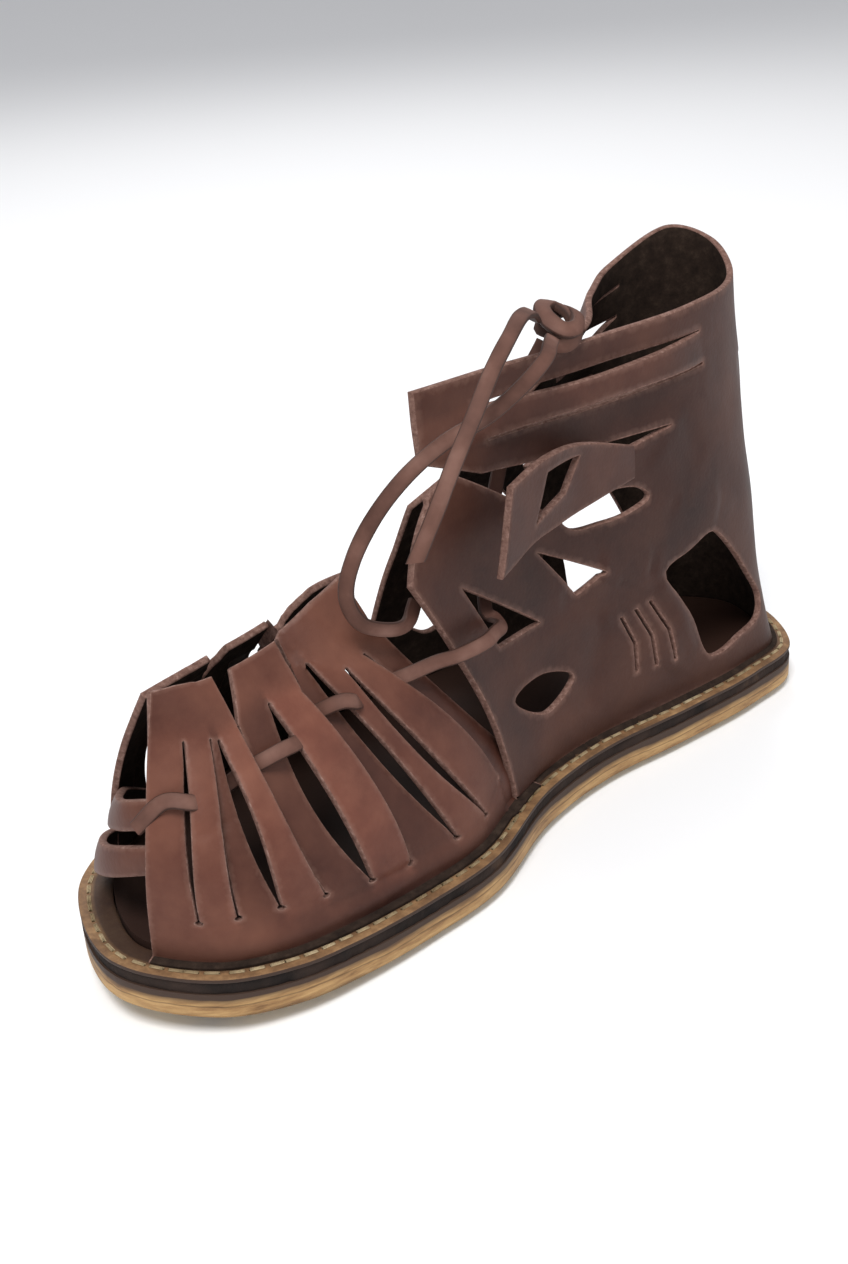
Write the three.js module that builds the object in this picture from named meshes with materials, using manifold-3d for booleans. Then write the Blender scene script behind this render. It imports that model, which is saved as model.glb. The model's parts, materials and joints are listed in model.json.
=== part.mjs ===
// A right gladiator sandal of thick leather on a stacked sole studded with hobnails.
// Millimetres, +Z up. While it is drawn, the heel is at x = 0, the toe at -SOLE_LENGTH,
// the inner (medial) side at -y and the outer (lateral) side at +y. At the end the whole
// sandal is moved so that the origin is the middle of its foot print, on the floor.
import * as THREE from 'three';
import { mergeVertices } from 'three/addons/utils/BufferGeometryUtils.js';
import Module from 'manifold-3d';

const wasm = await Module();
wasm.setup();

// Driving dimensions
const SOLE_LENGTH = 281;
const BALL_WIDTH = 104;
const OUTSOLE_THICKNESS = 7.0;
const MIDSOLE_THICKNESS = 2.8;
const WELT_THICKNESS = 1.3;
const WELT_WIDTH = 9.4;
const INSOLE_THICKNESS = 3.2;
const TOE_SPRING = 5.2;
const SPRING_STARTS = 0.69;
const FEATHER_INSET = 6.0;
const LEATHER = 2.1;
const SEAT_GAP = 0.3;
const TAB_HEIGHT = 82;
const INSTEP_HEIGHT = 93;
const COLLAR_HEIGHT = 138;
const HEEL_PEAK_HEIGHT = 150;
const NAIL_DIAMETER = 10;
const NAIL_HEIGHT = 2.5;
const NAIL_CROWN = 4.4;
const SLIT_PUNCH = 1.1;
const STRAP_BOW = 4;
const MERGE_TOLERANCE = 0.03;
const HAIR = 0.04;

// Heights of the layers, from the floor up
const TREAD_Z = NAIL_HEIGHT + SEAT_GAP;
const MIDSOLE_Z = TREAD_Z + OUTSOLE_THICKNESS + SEAT_GAP;
const WELT_Z = MIDSOLE_Z + MIDSOLE_THICKNESS + SEAT_GAP;
const FEATHER_Z = WELT_Z + WELT_THICKNESS + SEAT_GAP;
const INSOLE_INSET = FEATHER_INSET + LEATHER + 2 * SEAT_GAP + 1;

// Outline of the sole: shares of the length from the heel, and of the ball width to each side
const OUTLINE = [
  { along: 0.071, medial: 0.317, lateral: 0.340 },
  { along: 0.160, medial: 0.346, lateral: 0.420 },
  { along: 0.285, medial: 0.315, lateral: 0.487 },
  { along: 0.409, medial: 0.268, lateral: 0.539 },
  { along: 0.516, medial: 0.288, lateral: 0.580 },
  { along: 0.641, medial: 0.393, lateral: 0.596 },
  { along: 0.730, medial: 0.396, lateral: 0.594 },
  { along: 0.819, medial: 0.380, lateral: 0.541 },
  { along: 0.890, medial: 0.345, lateral: 0.455 },
  { along: 0.954, medial: 0.250, lateral: 0.315 },
];
const TIP_SHIFT = 0.01;
const OUTLINE_STEPS = 96;

// Hobnails: shares of the length from the heel, and of the ball width towards the outer side
const NAILS = [
  { along: 0.951, out: [0.053] },
  { along: 0.943, out: [-0.176] },
  { along: 0.915, out: [-0.043, 0.253] },
  { along: 0.870, out: [-0.240] },
  { along: 0.864, out: [0.066] },
  { along: 0.839, out: [-0.030, 0.386] },
  { along: 0.795, out: [-0.260, 0.154] },
  { along: 0.781, out: [0.008] },
  { along: 0.745, out: [0.470] },
  { along: 0.718, out: [-0.267, -0.010, 0.195] },
  { along: 0.660, out: [0.255] },
  { along: 0.648, out: [-0.035, 0.503] },
  { along: 0.630, out: [-0.256, 0.138] },
  { along: 0.546, out: [-0.165, 0.479] },
  { along: 0.538, out: [0.096, 0.279] },
  { along: 0.475, out: [0.025, 0.294] },
  { along: 0.446, out: [-0.111, 0.431] },
  { along: 0.434, out: [0.150] },
  { along: 0.365, out: [0.041, 0.238] },
  { along: 0.348, out: [-0.129, 0.395] },
  { along: 0.307, out: [0.264] },
  { along: 0.299, out: [-0.016] },
  { along: 0.261, out: [0.106, 0.347] },
  { along: 0.252, out: [-0.163] },
  { along: 0.192, out: [-0.020, 0.154] },
  { along: 0.165, out: [-0.198, 0.321] },
  { along: 0.140, out: [-0.092, 0.199] },
  { along: 0.094, out: [0.050, 0.250] },
  { along: 0.078, out: [-0.173] },
  { along: 0.047, out: [0.038] },
];

// Top lines of the upper. "at" is the place on the feather line where the upper stands on
// the welt, from 0 at the heel's back to 1 at the toe's tip; back and out are the top
// line's place as shares of the sole's length and of the ball width; rise goes from the
// lower to the higher named height of that piece; bulge says how late the wall leans in
const VAMP_TOP = {
  medial: [
    { at: 0.553, back: 0.683, out: 0.000, rise: 1.00, bulge: 1.7 },
    { at: 0.640, back: 0.726, out: 0.000, rise: 0.45, bulge: 1.7 },
    { at: 0.730, back: 0.772, out: 0.010, rise: 0.00, bulge: 1.7 },
    { at: 0.820, back: 0.840, out: 0.010, rise: -0.18, bulge: 1.7 },
    { at: 0.976, back: 0.911, out: 0.010, rise: 0.00, bulge: 1.7 },
  ],
  lateral: [
    { at: 0.488, back: 0.626, out: 0.125, rise: 0.18, bulge: 1.7 },
    { at: 0.570, back: 0.683, out: 0.125, rise: 0.18, bulge: 1.7 },
    { at: 0.640, back: 0.740, out: 0.135, rise: -0.18, bulge: 1.7 },
    { at: 0.730, back: 0.811, out: 0.144, rise: -0.45, bulge: 1.7 },
    { at: 0.855, back: 0.890, out: 0.144, rise: -0.64, bulge: 1.7 },
  ],
};
const VAMP_REACH = {
  medial: { rear: 0.557, front: 0.973 },
  lateral: { rear: 0.490, front: 0.855 },
};
const QUARTER_TOP = [
  { at: -0.640, back: 0.770, out: -0.070, rise: 0.00, bulge: 1.6 },
  { at: -0.553, back: 0.705, out: -0.087, rise: 0.00, bulge: 1.6 },
  { at: -0.434, back: 0.534, out: -0.135, rise: 0.00, bulge: 1.5 },
  { at: -0.317, back: 0.374, out: -0.192, rise: 0.00, bulge: 1.3 },
  { at: -0.200, back: 0.220, out: -0.205, rise: 0.00, bulge: 1.0 },
  { at: -0.097, back: 0.105, out: -0.115, rise: 0.00, bulge: 0.75 },
  { at: 0.000, back: 0.066, out: 0.030, rise: 0.66, bulge: 0.75 },
  { at: 0.094, back: 0.092, out: 0.165, rise: 1.00, bulge: 0.8 },
  { at: 0.195, back: 0.164, out: 0.235, rise: 0.25, bulge: 1.0 },
  { at: 0.307, back: 0.240, out: 0.150, rise: 0.00, bulge: 1.3 },
  { at: 0.425, back: 0.345, out: -0.040, rise: -0.15, bulge: 1.5 },
  { at: 0.570, back: 0.540, out: -0.070, rise: -0.30, bulge: 1.6 },
  { at: 0.650, back: 0.600, out: -0.060, rise: -0.30, bulge: 1.6 },
];

// Slits of the vamp from its front edge to its rear edge. foot, mid and head are places
// along the vamp (1 front, 0 rear) at the slit's lower end, half way and upper end; low and
// high are the heights of its ends, as shares of the wall; wide is its gap half way, in mm.
// An open slit runs on to the top edge, between the places topFront and topRear
const SLITS = [
  { foot: 0.890, mid: 0.888, head: 0.862, low: 0.17, high: 0.82, wide: 1.4 },
  { foot: 0.809, mid: 0.806, head: 0.764, low: 0.18, high: 0.81, wide: 0.5 },
  { foot: 0.716, mid: 0.737, head: 0.737, low: 0.18, high: 0.80, wide: 2.6 },
  { foot: 0.611, mid: 0.652, head: 0.655, low: 0.16, high: 0.82, wide: 0.5,
    topFront: 0.654, topRear: 0.560 },
  { foot: 0.496, mid: 0.546, head: 0.539, low: 0.13, high: 0.84, wide: 4.2 },
  { foot: 0.391, mid: 0.412, head: 0.440, low: 0.11, high: 0.82, wide: 0.6,
    topFront: 0.406, topRear: 0.398 },
  { foot: 0.253, mid: 0.334, head: 0.368, low: 0.10, high: 0.88, wide: 2.6 },
  { foot: 0.140, mid: 0.246, head: 0.274, low: 0.09, high: 0.80, wide: 3.0 },
  { foot: 0.045, mid: 0.110, head: 0.190, low: 0.15, high: 0.80, wide: 0.6 },
];
const VAMP_FRONT = { foot: 1, mid: 1, head: 1, low: 0.17, high: 0.82, topRear: 1 };
const VAMP_REAR = { foot: -0.1, mid: 0.035, head: 0.080, low: 0.08, high: 0.85, topFront: 0.024 };
const TOP_EDGE = [1.0, 1.0, 0.995, 0.99, 0.987, 0.985, 0.985, 1.0, 1.0, 1.0, 0.985];

// How far each strap stands out of the vamp's form half way up, in mm, front to rear, and
// how far its tab does; a negative one lies lower than its neighbours
const STRAPS = [
  { bow: 0.3, tab: 0 },
  { bow: 1.8, tab: 0 },
  { bow: -1.2, tab: 0 },
  { bow: 1.9, tab: 0 },
  { bow: -1.1, tab: 0 },
  { bow: 2.2, tab: 0 },
  { bow: -1.3, tab: -2.6 },
  { bow: 1.3, tab: -0.8 },
  { bow: 1.6, tab: 0 },
  { bow: -1.0, tab: 0 },
];
const STRAP_ROWS = [0.12, 0.28, 0.44, 0.6, 0.76, 0.9];

// The outer side's front edge and openings stand this much nearer to the heel
const OUTER_REACH = 0.88;

// Openings of the quarter: places on the feather line and heights as shares of its wall
const QUARTER_NOTCH = [
  [0.545, 0.742], [0.491, 0.810], [0.449, 0.708], [0.396, 0.600], [0.362, 0.618],
  [0.332, 0.650], [0.326, 0.712], [0.300, 0.722], [0.255, 0.735], [0.300, 0.742], [0.350, 0.748],
  [0.409, 0.758], [0.464, 0.780], [0.510, 0.846], [0.545, 0.852],
];
const LACE_HOLES = [
  [[0.530, 0.554], [0.458, 0.382], [0.517, 0.383]],
  [[0.437, 0.548], [0.366, 0.435], [0.404, 0.403]],
];
const EYE_OPENING = [
  [0.401, 0.600], [0.385, 0.622], [0.339, 0.629], [0.308, 0.612], [0.297, 0.582],
  [0.327, 0.561], [0.358, 0.561], [0.393, 0.572],
];
const HEEL_OPENING = [
  [0.212, 0.415], [0.250, 0.395], [0.291, 0.365], [0.276, 0.290], [0.258, 0.208], [0.236, 0.081],
  [0.180, 0.090], [0.140, 0.110], [0.128, 0.150], [0.150, 0.240], [0.190, 0.370],
];
const WAIST_OPENING = [[0.520, 0.235], [0.470, 0.250], [0.430, 0.200], [0.475, 0.150]];
const COUNTER_SLITS = [
  { top: 0.355, up: 0.293, foot: 0.345, down: 0.130 },
  { top: 0.335, up: 0.300, foot: 0.318, down: 0.125 },
  { top: 0.315, up: 0.307, foot: 0.292, down: 0.120 },
];
const COLLAR_CUTS = { start: 0.20, end: 0.448, lower: [0.845, 0.856], upper: [0.925, 0.936] };

const COLOURS = {
  tan: 0xb08a55, dark: 0x2b211f, welt: 0x8a6a45, brown: 0x5a3630, insole: 0x4a2c27, nail: 0x9a948c,
  lace: 0x6a4438,
};

const outlineCurve = new THREE.CatmullRomCurve3([
  new THREE.Vector3(0, TIP_SHIFT * BALL_WIDTH, 0),
  ...OUTLINE.map((row) => new THREE.Vector3(-row.along * SOLE_LENGTH, -row.medial * BALL_WIDTH, 0)),
  new THREE.Vector3(-SOLE_LENGTH, -TIP_SHIFT * BALL_WIDTH, 0),
  ...OUTLINE.slice().reverse().map(
    (row) => new THREE.Vector3(-row.along * SOLE_LENGTH, row.lateral * BALL_WIDTH, 0)),
], true, 'centripetal');
const outlinePoints = outlineCurve.getSpacedPoints(OUTLINE_STEPS).slice(0, OUTLINE_STEPS);

// How far the toe lifts off the floor at a place along the sole
function springAt(x) {
  const past = -x - SPRING_STARTS * SOLE_LENGTH;
  const reach = (1 - SPRING_STARTS) * SOLE_LENGTH;
  return past > 0 ? TOE_SPRING * (past / reach) ** 2 : 0;
}

// The outline moved inwards by a margin
function insetLoop(margin) {
  const count = outlinePoints.length;
  return outlinePoints.map((point, i) => {
    const before = outlinePoints[(i + count - 1) % count];
    const after = outlinePoints[(i + 1) % count];
    const run = after.clone().sub(before).normalize();
    return new THREE.Vector3(point.x + run.y * margin, point.y - run.x * margin, 0);
  });
}

// One side of a loop as a line from the heel's back to the toe's tip, with its arc shares
function sideLine(loop, side) {
  let tip = 0;
  let heel = 0;
  loop.forEach((point, i) => {
    if (point.x < loop[tip].x) tip = i;
    if (point.x > loop[heel].x) heel = i;
  });
  const line = [];
  for (let k = 0; k < loop.length; k += 1) {
    const i = (heel - side * k + loop.length) % loop.length;
    line.push(loop[i]);
    if (i === tip) break;
  }
  const arc = [0];
  for (let k = 1; k < line.length; k += 1) arc.push(arc[k - 1] + line[k].distanceTo(line[k - 1]));
  return { line, share: arc.map((a) => a / arc[arc.length - 1]) };
}

function lookUp(xs, ys, x) {
  let k = 1;
  while (k < xs.length - 1 && xs[k] < x) k += 1;
  const t = (x - xs[k - 1]) / (xs[k] - xs[k - 1]);
  return ys[k - 1] + (ys[k] - ys[k - 1]) * t;
}

// Smooth look-up of a named column in rows that are ordered by their "at"
function smooth(rows, at, name) {
  let k = 1;
  while (k < rows.length - 1 && rows[k].at < at) k += 1;
  const span = rows[k].at - rows[k - 1].at;
  const t = Math.min(1.2, Math.max(-0.2, (at - rows[k - 1].at) / span));
  const slope = (i) => {
    const before = rows[Math.max(0, i - 1)];
    const after = rows[Math.min(rows.length - 1, i + 1)];
    return (after[name] - before[name]) / (after.at - before.at) * span;
  };
  return (2 * t ** 3 - 3 * t ** 2 + 1) * rows[k - 1][name]
    + (t ** 3 - 2 * t ** 2 + t) * slope(k - 1)
    + (3 * t ** 2 - 2 * t ** 3) * rows[k][name]
    + (t ** 3 - t ** 2) * slope(k);
}

// Feather line at u, from -1 (toe, round the inner side) over 0 (heel) to +1 (toe, outer side)
const featherLoop = insetLoop(FEATHER_INSET);
const FEATHER = { medial: sideLine(featherLoop, -1), lateral: sideLine(featherLoop, 1) };
function feather(u) {
  const { line, share } = u < 0 ? FEATHER.medial : FEATHER.lateral;
  const at = Math.abs(u);
  return new THREE.Vector2(
    lookUp(share, line.map((p) => p.x), at),
    lookUp(share, line.map((p) => p.y), at));
}

// A wall's form: from the feather line at height share 0 to its top line at 1
function wallForm(rows, low, high) {
  return (u, s) => {
    const at = rows[0].at < 0 ? u : Math.abs(u);
    const foot = feather(u);
    const lean = s > 0 ? s ** smooth(rows, at, 'bulge') : 0;
    const footZ = FEATHER_Z + springAt(foot.x);
    const topZ = TREAD_Z + low + smooth(rows, at, 'rise') * (high - low);
    return new THREE.Vector3(
      foot.x + (-smooth(rows, at, 'back') * SOLE_LENGTH - foot.x) * lean,
      foot.y + (smooth(rows, at, 'out') * BALL_WIDTH - foot.y) * lean,
      footZ + s * (topZ - footZ));
  };
}

function outward(form, u, s) {
  const du = form(u + 0.004, s).sub(form(u - 0.004, s));
  const ds = form(u, Math.min(1, s + 0.01)).sub(form(u, Math.max(0.02, s - 0.01)));
  return du.cross(ds).normalize();
}

// Closed meshes and solids
function toGeometry(points, faces) {
  const geometry = new THREE.BufferGeometry();
  geometry.setAttribute('position', new THREE.Float32BufferAttribute(points.flatMap((p) => p.toArray()), 3));
  let volume = 0;
  for (const [a, b, c] of faces) volume += points[a].dot(points[b].clone().cross(points[c]));
  const order = volume < 0 ? faces.map(([a, b, c]) => [a, c, b]) : faces;
  geometry.setIndex(order.flat());
  return geometry;
}

function toSolid(source) {
  const bare = source.clone();
  bare.deleteAttribute('normal');
  bare.deleteAttribute('uv');
  const geometry = mergeVertices(bare, 1e-4);
  const index = geometry.getIndex().array;
  const triangles = [];
  for (let i = 0; i < index.length; i += 3) {
    const [a, b, c] = [index[i], index[i + 1], index[i + 2]];
    if (a !== b && b !== c && c !== a) triangles.push(a, b, c);
  }
  return new wasm.Manifold(new wasm.Mesh({
    numProp: 3,
    vertProperties: new Float32Array(geometry.getAttribute('position').array),
    triVerts: new Uint32Array(triangles),
  }));
}

// The geometry of a solid. Corners that touch without being joined are drawn apart by a
// hair, each towards the middle of its own neighbours
function fromSolid(solid) {
  const mesh = solid.getMesh();
  const index = Array.from(mesh.triVerts);
  const corners = [];
  for (let i = 0; i < mesh.numVert; i += 1) {
    corners.push(new THREE.Vector3().fromArray(mesh.vertProperties, i * mesh.numProp));
  }
  const around = corners.map(() => []);
  index.forEach((corner, k) => around[corner].push(corners[index[k % 3 === 2 ? k - 2 : k + 1]]));
  const places = new Map();
  corners.forEach((corner, i) => {
    const place = corner.toArray().map((value) => value.toFixed(2)).join();
    places.set(place, [...(places.get(place) ?? []), i]);
  });
  const moved = corners.map((corner) => corner.clone());
  places.forEach((touching) => touching.forEach((i) => {
    if (touching.length < 2) return;
    const middle = new THREE.Vector3();
    around[i].forEach((corner) => middle.addScaledVector(corner, 1 / around[i].length));
    moved[i].addScaledVector(middle.sub(corners[i]).normalize(), HAIR);
  }));
  const geometry = new THREE.BufferGeometry().setFromPoints(moved);
  geometry.setIndex(index);
  return geometry;
}

// A sheet of leather on a grid: place(i, j) gives its outer and inner point, and the cells
// that skip(i, j) names stay open. Its rims are closed, so it is one solid wall
function sheet(columns, rows, place, skip) {
  const points = [];
  for (let i = 0; i < columns; i += 1) {
    for (let j = 0; j < rows; j += 1) points.push(...place(i, j));
  }
  const id = (i, j, inner) => (i * rows + j) * 2 + inner;
  const open = (i, j) => i < 0 || j < 0 || i >= columns - 1 || j >= rows - 1 || skip(i, j);
  const faces = [];
  const quad = (a, b, c, d) => faces.push([a, b, c], [a, c, d]);
  for (let i = 0; i < columns - 1; i += 1) {
    for (let j = 0; j < rows - 1; j += 1) {
      if (open(i, j)) continue;
      const corners = [[i, j], [i + 1, j], [i + 1, j + 1], [i, j + 1]];
      quad(...corners.map(([p, q]) => id(p, q, 0)));
      quad(...corners.slice().reverse().map(([p, q]) => id(p, q, 1)));
      const beyond = [[i, j - 1], [i + 1, j], [i, j + 1], [i - 1, j]];
      beyond.forEach(([p, q], k) => {
        if (!open(p, q)) return;
        const [from, to] = [corners[k], corners[(k + 1) % 4]];
        quad(id(...from, 1), id(...to, 1), id(...to, 0), id(...from, 0));
      });
    }
  }
  return toSolid(toGeometry(points, faces));
}

// The outer and inner point of a wall that stands proud of its form
function wallPoints(form, u, s, proud) {
  const at = form(u, s);
  const out = outward(form, u, s);
  return [at.clone().addScaledVector(out, proud), at.clone().addScaledVector(out, proud - LEATHER)];
}

// A cutter through a wall: a polygon on its form, carried to both sides of it
const CUT_REACH = 7;
function cutter(form, polygon) {
  const flat = polygon.map(([u, s]) => new THREE.Vector2(u * SOLE_LENGTH, s * COLLAR_HEIGHT));
  const caps = THREE.ShapeUtils.triangulateShape(flat, []);
  const count = polygon.length;
  const points = [CUT_REACH, -CUT_REACH].flatMap((side) => polygon.map(([u, s]) => {
    const high = Math.max(0, Math.min(1, s));
    const point = form(u, high).addScaledVector(outward(form, u, high), side);
    point.z += (s - high) * COLLAR_HEIGHT;
    return point;
  }));
  const faces = [];
  caps.forEach(([a, b, c]) => faces.push([a, b, c], [c + count, b + count, a + count]));
  const turn = THREE.ShapeUtils.area(flat) > 0 ? 1 : -1;
  for (let i = 0; i < count; i += 1) {
    const next = (i + 1) % count;
    const side = [[i, i + count, next + count], [i, next + count, next]];
    side.forEach(([a, b, c]) => faces.push(turn > 0 ? [a, b, c] : [c, b, a]));
  }
  return toSolid(toGeometry(points, faces));
}

function roundedPolygon(polygon, steps) {
  const corners = polygon.map(([u, s]) => new THREE.Vector3(u, s, 0));
  const curve = new THREE.CatmullRomCurve3(corners, true, 'centripetal');
  return curve.getSpacedPoints(steps).slice(0, steps).map((p) => [p.x, p.y]);
}

// Vamp: straps that fan out of three tabs, cut from one wall
function vampWall(side) {
  const form = wallForm(VAMP_TOP[side], TAB_HEIGHT, INSTEP_HEIGHT);
  const reach = VAMP_REACH[side];
  const sign = side === 'medial' ? -1 : 1;
  const placeOf = (t) => sign * (reach.rear + t * (reach.front - reach.rear));
  const rowCount = STRAP_ROWS.length + 5;
  const headRow = rowCount - 3;
  const edges = [];
  const borders = [VAMP_FRONT, ...SLITS, VAMP_REAR];
  borders.forEach((border, k) => {
    if (k > 0) edges.push({ border, strap: k - 1, side: 1 });
    if (k < borders.length - 1) edges.push({ border, strap: k, side: -1 });
  });
  const columns = [];
  edges.forEach((edge, k) => {
    columns.push({ a: edge, b: edge, mix: 0 });
    if (k % 2 === 0) columns.push({ a: edge, b: edges[k + 1], mix: 0.5 });
  });
  // Place along the vamp and height of an edge at a grid row
  const edgeAt = ({ border, strap, side: rim }, row) => {
    const v = row <= 1 ? 0 : Math.min(1, row >= headRow ? 1 : STRAP_ROWS[row - 2]);
    const height = border.low + (border.high - border.low) * v;
    const top = TOP_EDGE[strap + (rim > 0 ? 1 : 0)];
    const above = Math.max(0, row - headRow) / 2;
    const s = [0, border.low][row] ?? height + (top - height) * above;
    let t = (1 - v) * (1 - v) * border.foot + v * v * border.head
      + 2 * v * (1 - v) * (2 * border.mid - (border.foot + border.head) / 2);
    const topPlace = rim > 0 ? border.topFront : border.topRear;
    if (topPlace !== undefined) t += (topPlace - t) * above;
    const scale = form(placeOf(t + 0.01), s).distanceTo(form(placeOf(t - 0.01), s)) / 0.02;
    const spread = (border.wide - SLIT_PUNCH) * Math.sin(Math.PI * v);
    const gap = border.wide === undefined ? 0 : SLIT_PUNCH + spread;
    const widened = row < 1 ? 0.5 * gap : gap;
    return { t: t + rim * widened / 2 / scale, s };
  };
  const place = (i, row) => {
    const { a, b, mix } = columns[i];
    const [p, q] = [edgeAt(a, row), edgeAt(b, row)];
    const strap = STRAPS[a.strap];
    const v = row < 2 || row >= headRow ? 0 : STRAP_ROWS[row - 2];
    const settle = Math.max(0, row - 1) / (headRow - 1);
    const tucked = i > columns.length - 3 ? Math.max(0, 1 - p.s / 0.3) * 0.4 * LEATHER : 0;
    const proud = strap.bow * Math.sin(Math.PI * v) ** 0.7 - tucked
      + (mix > 0 && v > 0 ? 0.35 : 0) + strap.tab * Math.min(1, settle) ** 2;
    return wallPoints(form, placeOf(p.t + (q.t - p.t) * mix), p.s + (q.s - p.s) * mix, proud);
  };
  const skip = (i, row) => {
    if (i % 3 !== 2 || row < 1) return false;
    return row < headRow || columns[i].a.border.topFront !== undefined;
  };
  return sheet(columns.length, rowCount, place, skip);
}

// Quarter: one wall from the inner front edge round the heel to the outer front edge
const quarterForm = wallForm(QUARTER_TOP, COLLAR_HEIGHT, HEEL_PEAK_HEIGHT);
const QUARTER_ROWS = [
  { up: 0, front: 0.553 }, { up: 0.08, front: 0.556 }, { up: 0.20, front: 0.562 },
  { up: 0.34, front: 0.569 }, { up: 0.48, front: 0.577 }, { up: 0.62, front: 0.589 },
  { up: 0.76, front: 0.522 }, { up: COLLAR_CUTS.lower[0], front: 0.510 },
  { up: COLLAR_CUTS.lower[1], front: 0.509 }, { up: 0.89, front: 0.504 },
  { up: COLLAR_CUTS.upper[0], front: 0.499 }, { up: COLLAR_CUTS.upper[1], front: 0.498 },
  { up: 1, front: 0.488 },
];
const QUARTER_COLUMNS = [];
for (let k = -17; k <= 17; k += 1) {
  const near = Math.min(6, Math.abs(k));
  QUARTER_COLUMNS.push(Math.sign(k) * (near * 0.045 + (Math.abs(k) - near) * 0.73 / 11));
}

function quarterWall() {
  const { start, end, lower, upper } = COLLAR_CUTS;
  const place = (i, j) => {
    const { up: s, front } = QUARTER_ROWS[j];
    const u = QUARTER_COLUMNS[i] * front * (QUARTER_COLUMNS[i] > 0 ? OUTER_REACH : 1);
    const at = Math.abs(QUARTER_COLUMNS[i]) * front;
    const along = (at - start) / (end + 0.02 - start);
    const bow = along > 0 && along < 1 ? Math.sin(Math.PI * along) : 0;
    const strip = s > lower[0] + 0.001 && s < upper[1] - 0.001 ? STRAP_BOW : 0;
    const sunk = s > 0.74 && s <= lower[0] ? -STRAP_BOW / 3 : 0;
    const lap = Math.max(0, Math.min(1, (at - 0.47) / 0.06)) * Math.max(0, 1 - s / 0.5);
    const proud = bow * (strip * (u < 0 ? 1 : 0.4) + sunk) + lap * LEATHER * 0.5;
    return wallPoints(quarterForm, u, s, proud);
  };
  const skip = (i, j) => {
    const { up, front } = QUARTER_ROWS[j];
    const ends = [Math.abs(QUARTER_COLUMNS[i]) * front, Math.abs(QUARTER_COLUMNS[i + 1]) * front];
    return (up === lower[0] || up === upper[0]) && Math.min(...ends) > start && Math.max(...ends) < end;
  };
  let wall = sheet(QUARTER_COLUMNS.length, QUARTER_ROWS.length, place, skip);
  for (const side of [-1, 1]) {
    const reach = side > 0 ? OUTER_REACH : -1;
    const onSide = (polygon) => polygon.map(([u, s]) => [reach * u, s]);
    const cut = (polygon) => {
      wall = wall.subtract(cutter(quarterForm, onSide(polygon)));
    };
    cut(QUARTER_NOTCH);
    LACE_HOLES.forEach((hole) => cut(hole));
    cut(roundedPolygon(EYE_OPENING, 20));
    cut(roundedPolygon(HEEL_OPENING, 22));
    cut(roundedPolygon(WAIST_OPENING, 12));
    const half = SLIT_PUNCH / 2 / (SOLE_LENGTH * 1.1);
    COUNTER_SLITS.forEach(({ top, up, foot, down }) => {
      const middle = [(top + foot) / 2 - 0.008, (up + down) / 2];
      cut([[top + half, up], [middle[0] + half, middle[1]], [foot + half, down],
        [foot - half, down], [middle[0] - half, middle[1]], [top - half, up]]);
    });
  }
  return wall;
}

// A band between a lower and an upper edge line, each through a few points
function bandForm(lowerEdge, upperEdge) {
  const [low, high] = [lowerEdge, upperEdge].map(
    (edge) => new THREE.CatmullRomCurve3(edge, false, 'centripetal'));
  return (u, s) => {
    const at = Math.max(0, Math.min(1, u));
    return low.getPoint(at).lerp(high.getPoint(at), s);
  };
}

function bandWall(form, steps, turn) {
  const place = (i, j) => {
    const [u, s] = [i / steps, j];
    const at = form(u, s);
    const du = form(Math.min(1, u + 0.02), s).sub(form(Math.max(0, u - 0.02), s));
    const out = du.cross(form(u, 1).sub(form(u, 0))).normalize().multiplyScalar(turn);
    return [at, at.clone().addScaledVector(out, -LEATHER)];
  };
  return sheet(steps + 1, 2, place, () => false);
}

// A place by shares of the sole's length and ball width, and a height over the sole's face
function spot({ along, out, up }) {
  return new THREE.Vector3(-along * SOLE_LENGTH, out * BALL_WIDTH, TREAD_Z + up * TAB_HEIGHT);
}

// Two straps that cross the open toe from the outer side and join the inner front strap.
// start and end are places and heights on the outer and inner vamp wall
const TOE_BANDS = [
  { start: [0.828, 0.035, 0.14], end: [0.962, 0.35, 0.46],
    lower: [{ along: 0.930, out: 0.315, up: 0.24 }, { along: 0.957, out: 0.190, up: 0.33 },
      { along: 0.966, out: 0.070, up: 0.40 }],
    upper: [{ along: 0.915, out: 0.320, up: 0.35 }, { along: 0.948, out: 0.190, up: 0.44 },
      { along: 0.960, out: 0.070, up: 0.505 }] },
  { start: [0.795, 0.125, 0.245], end: [0.962, 0.52, 0.63],
    lower: [{ along: 0.900, out: 0.325, up: 0.38 }, { along: 0.937, out: 0.190, up: 0.48 },
      { along: 0.953, out: 0.070, up: 0.55 }],
    upper: [{ along: 0.886, out: 0.318, up: 0.48 }, { along: 0.924, out: 0.185, up: 0.58 },
      { along: 0.944, out: 0.070, up: 0.65 }] },
];
function toeBands() {
  const outer = wallForm(VAMP_TOP.lateral, TAB_HEIGHT, INSTEP_HEIGHT);
  const inner = wallForm(VAMP_TOP.medial, TAB_HEIGHT, INSTEP_HEIGHT);
  const sunk = (form, u, s) => form(u, s).addScaledVector(outward(form, u, s), -LEATHER / 3);
  return TOE_BANDS.map(({ start, end, lower, upper }) => bandWall(bandForm(
    [sunk(outer, start[0], start[1]), ...lower.map(spot), sunk(inner, -end[0], end[1])],
    [sunk(outer, start[0], start[2]), ...upper.map(spot), sunk(inner, -end[0], end[2])]), 10, 1));
}

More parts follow.
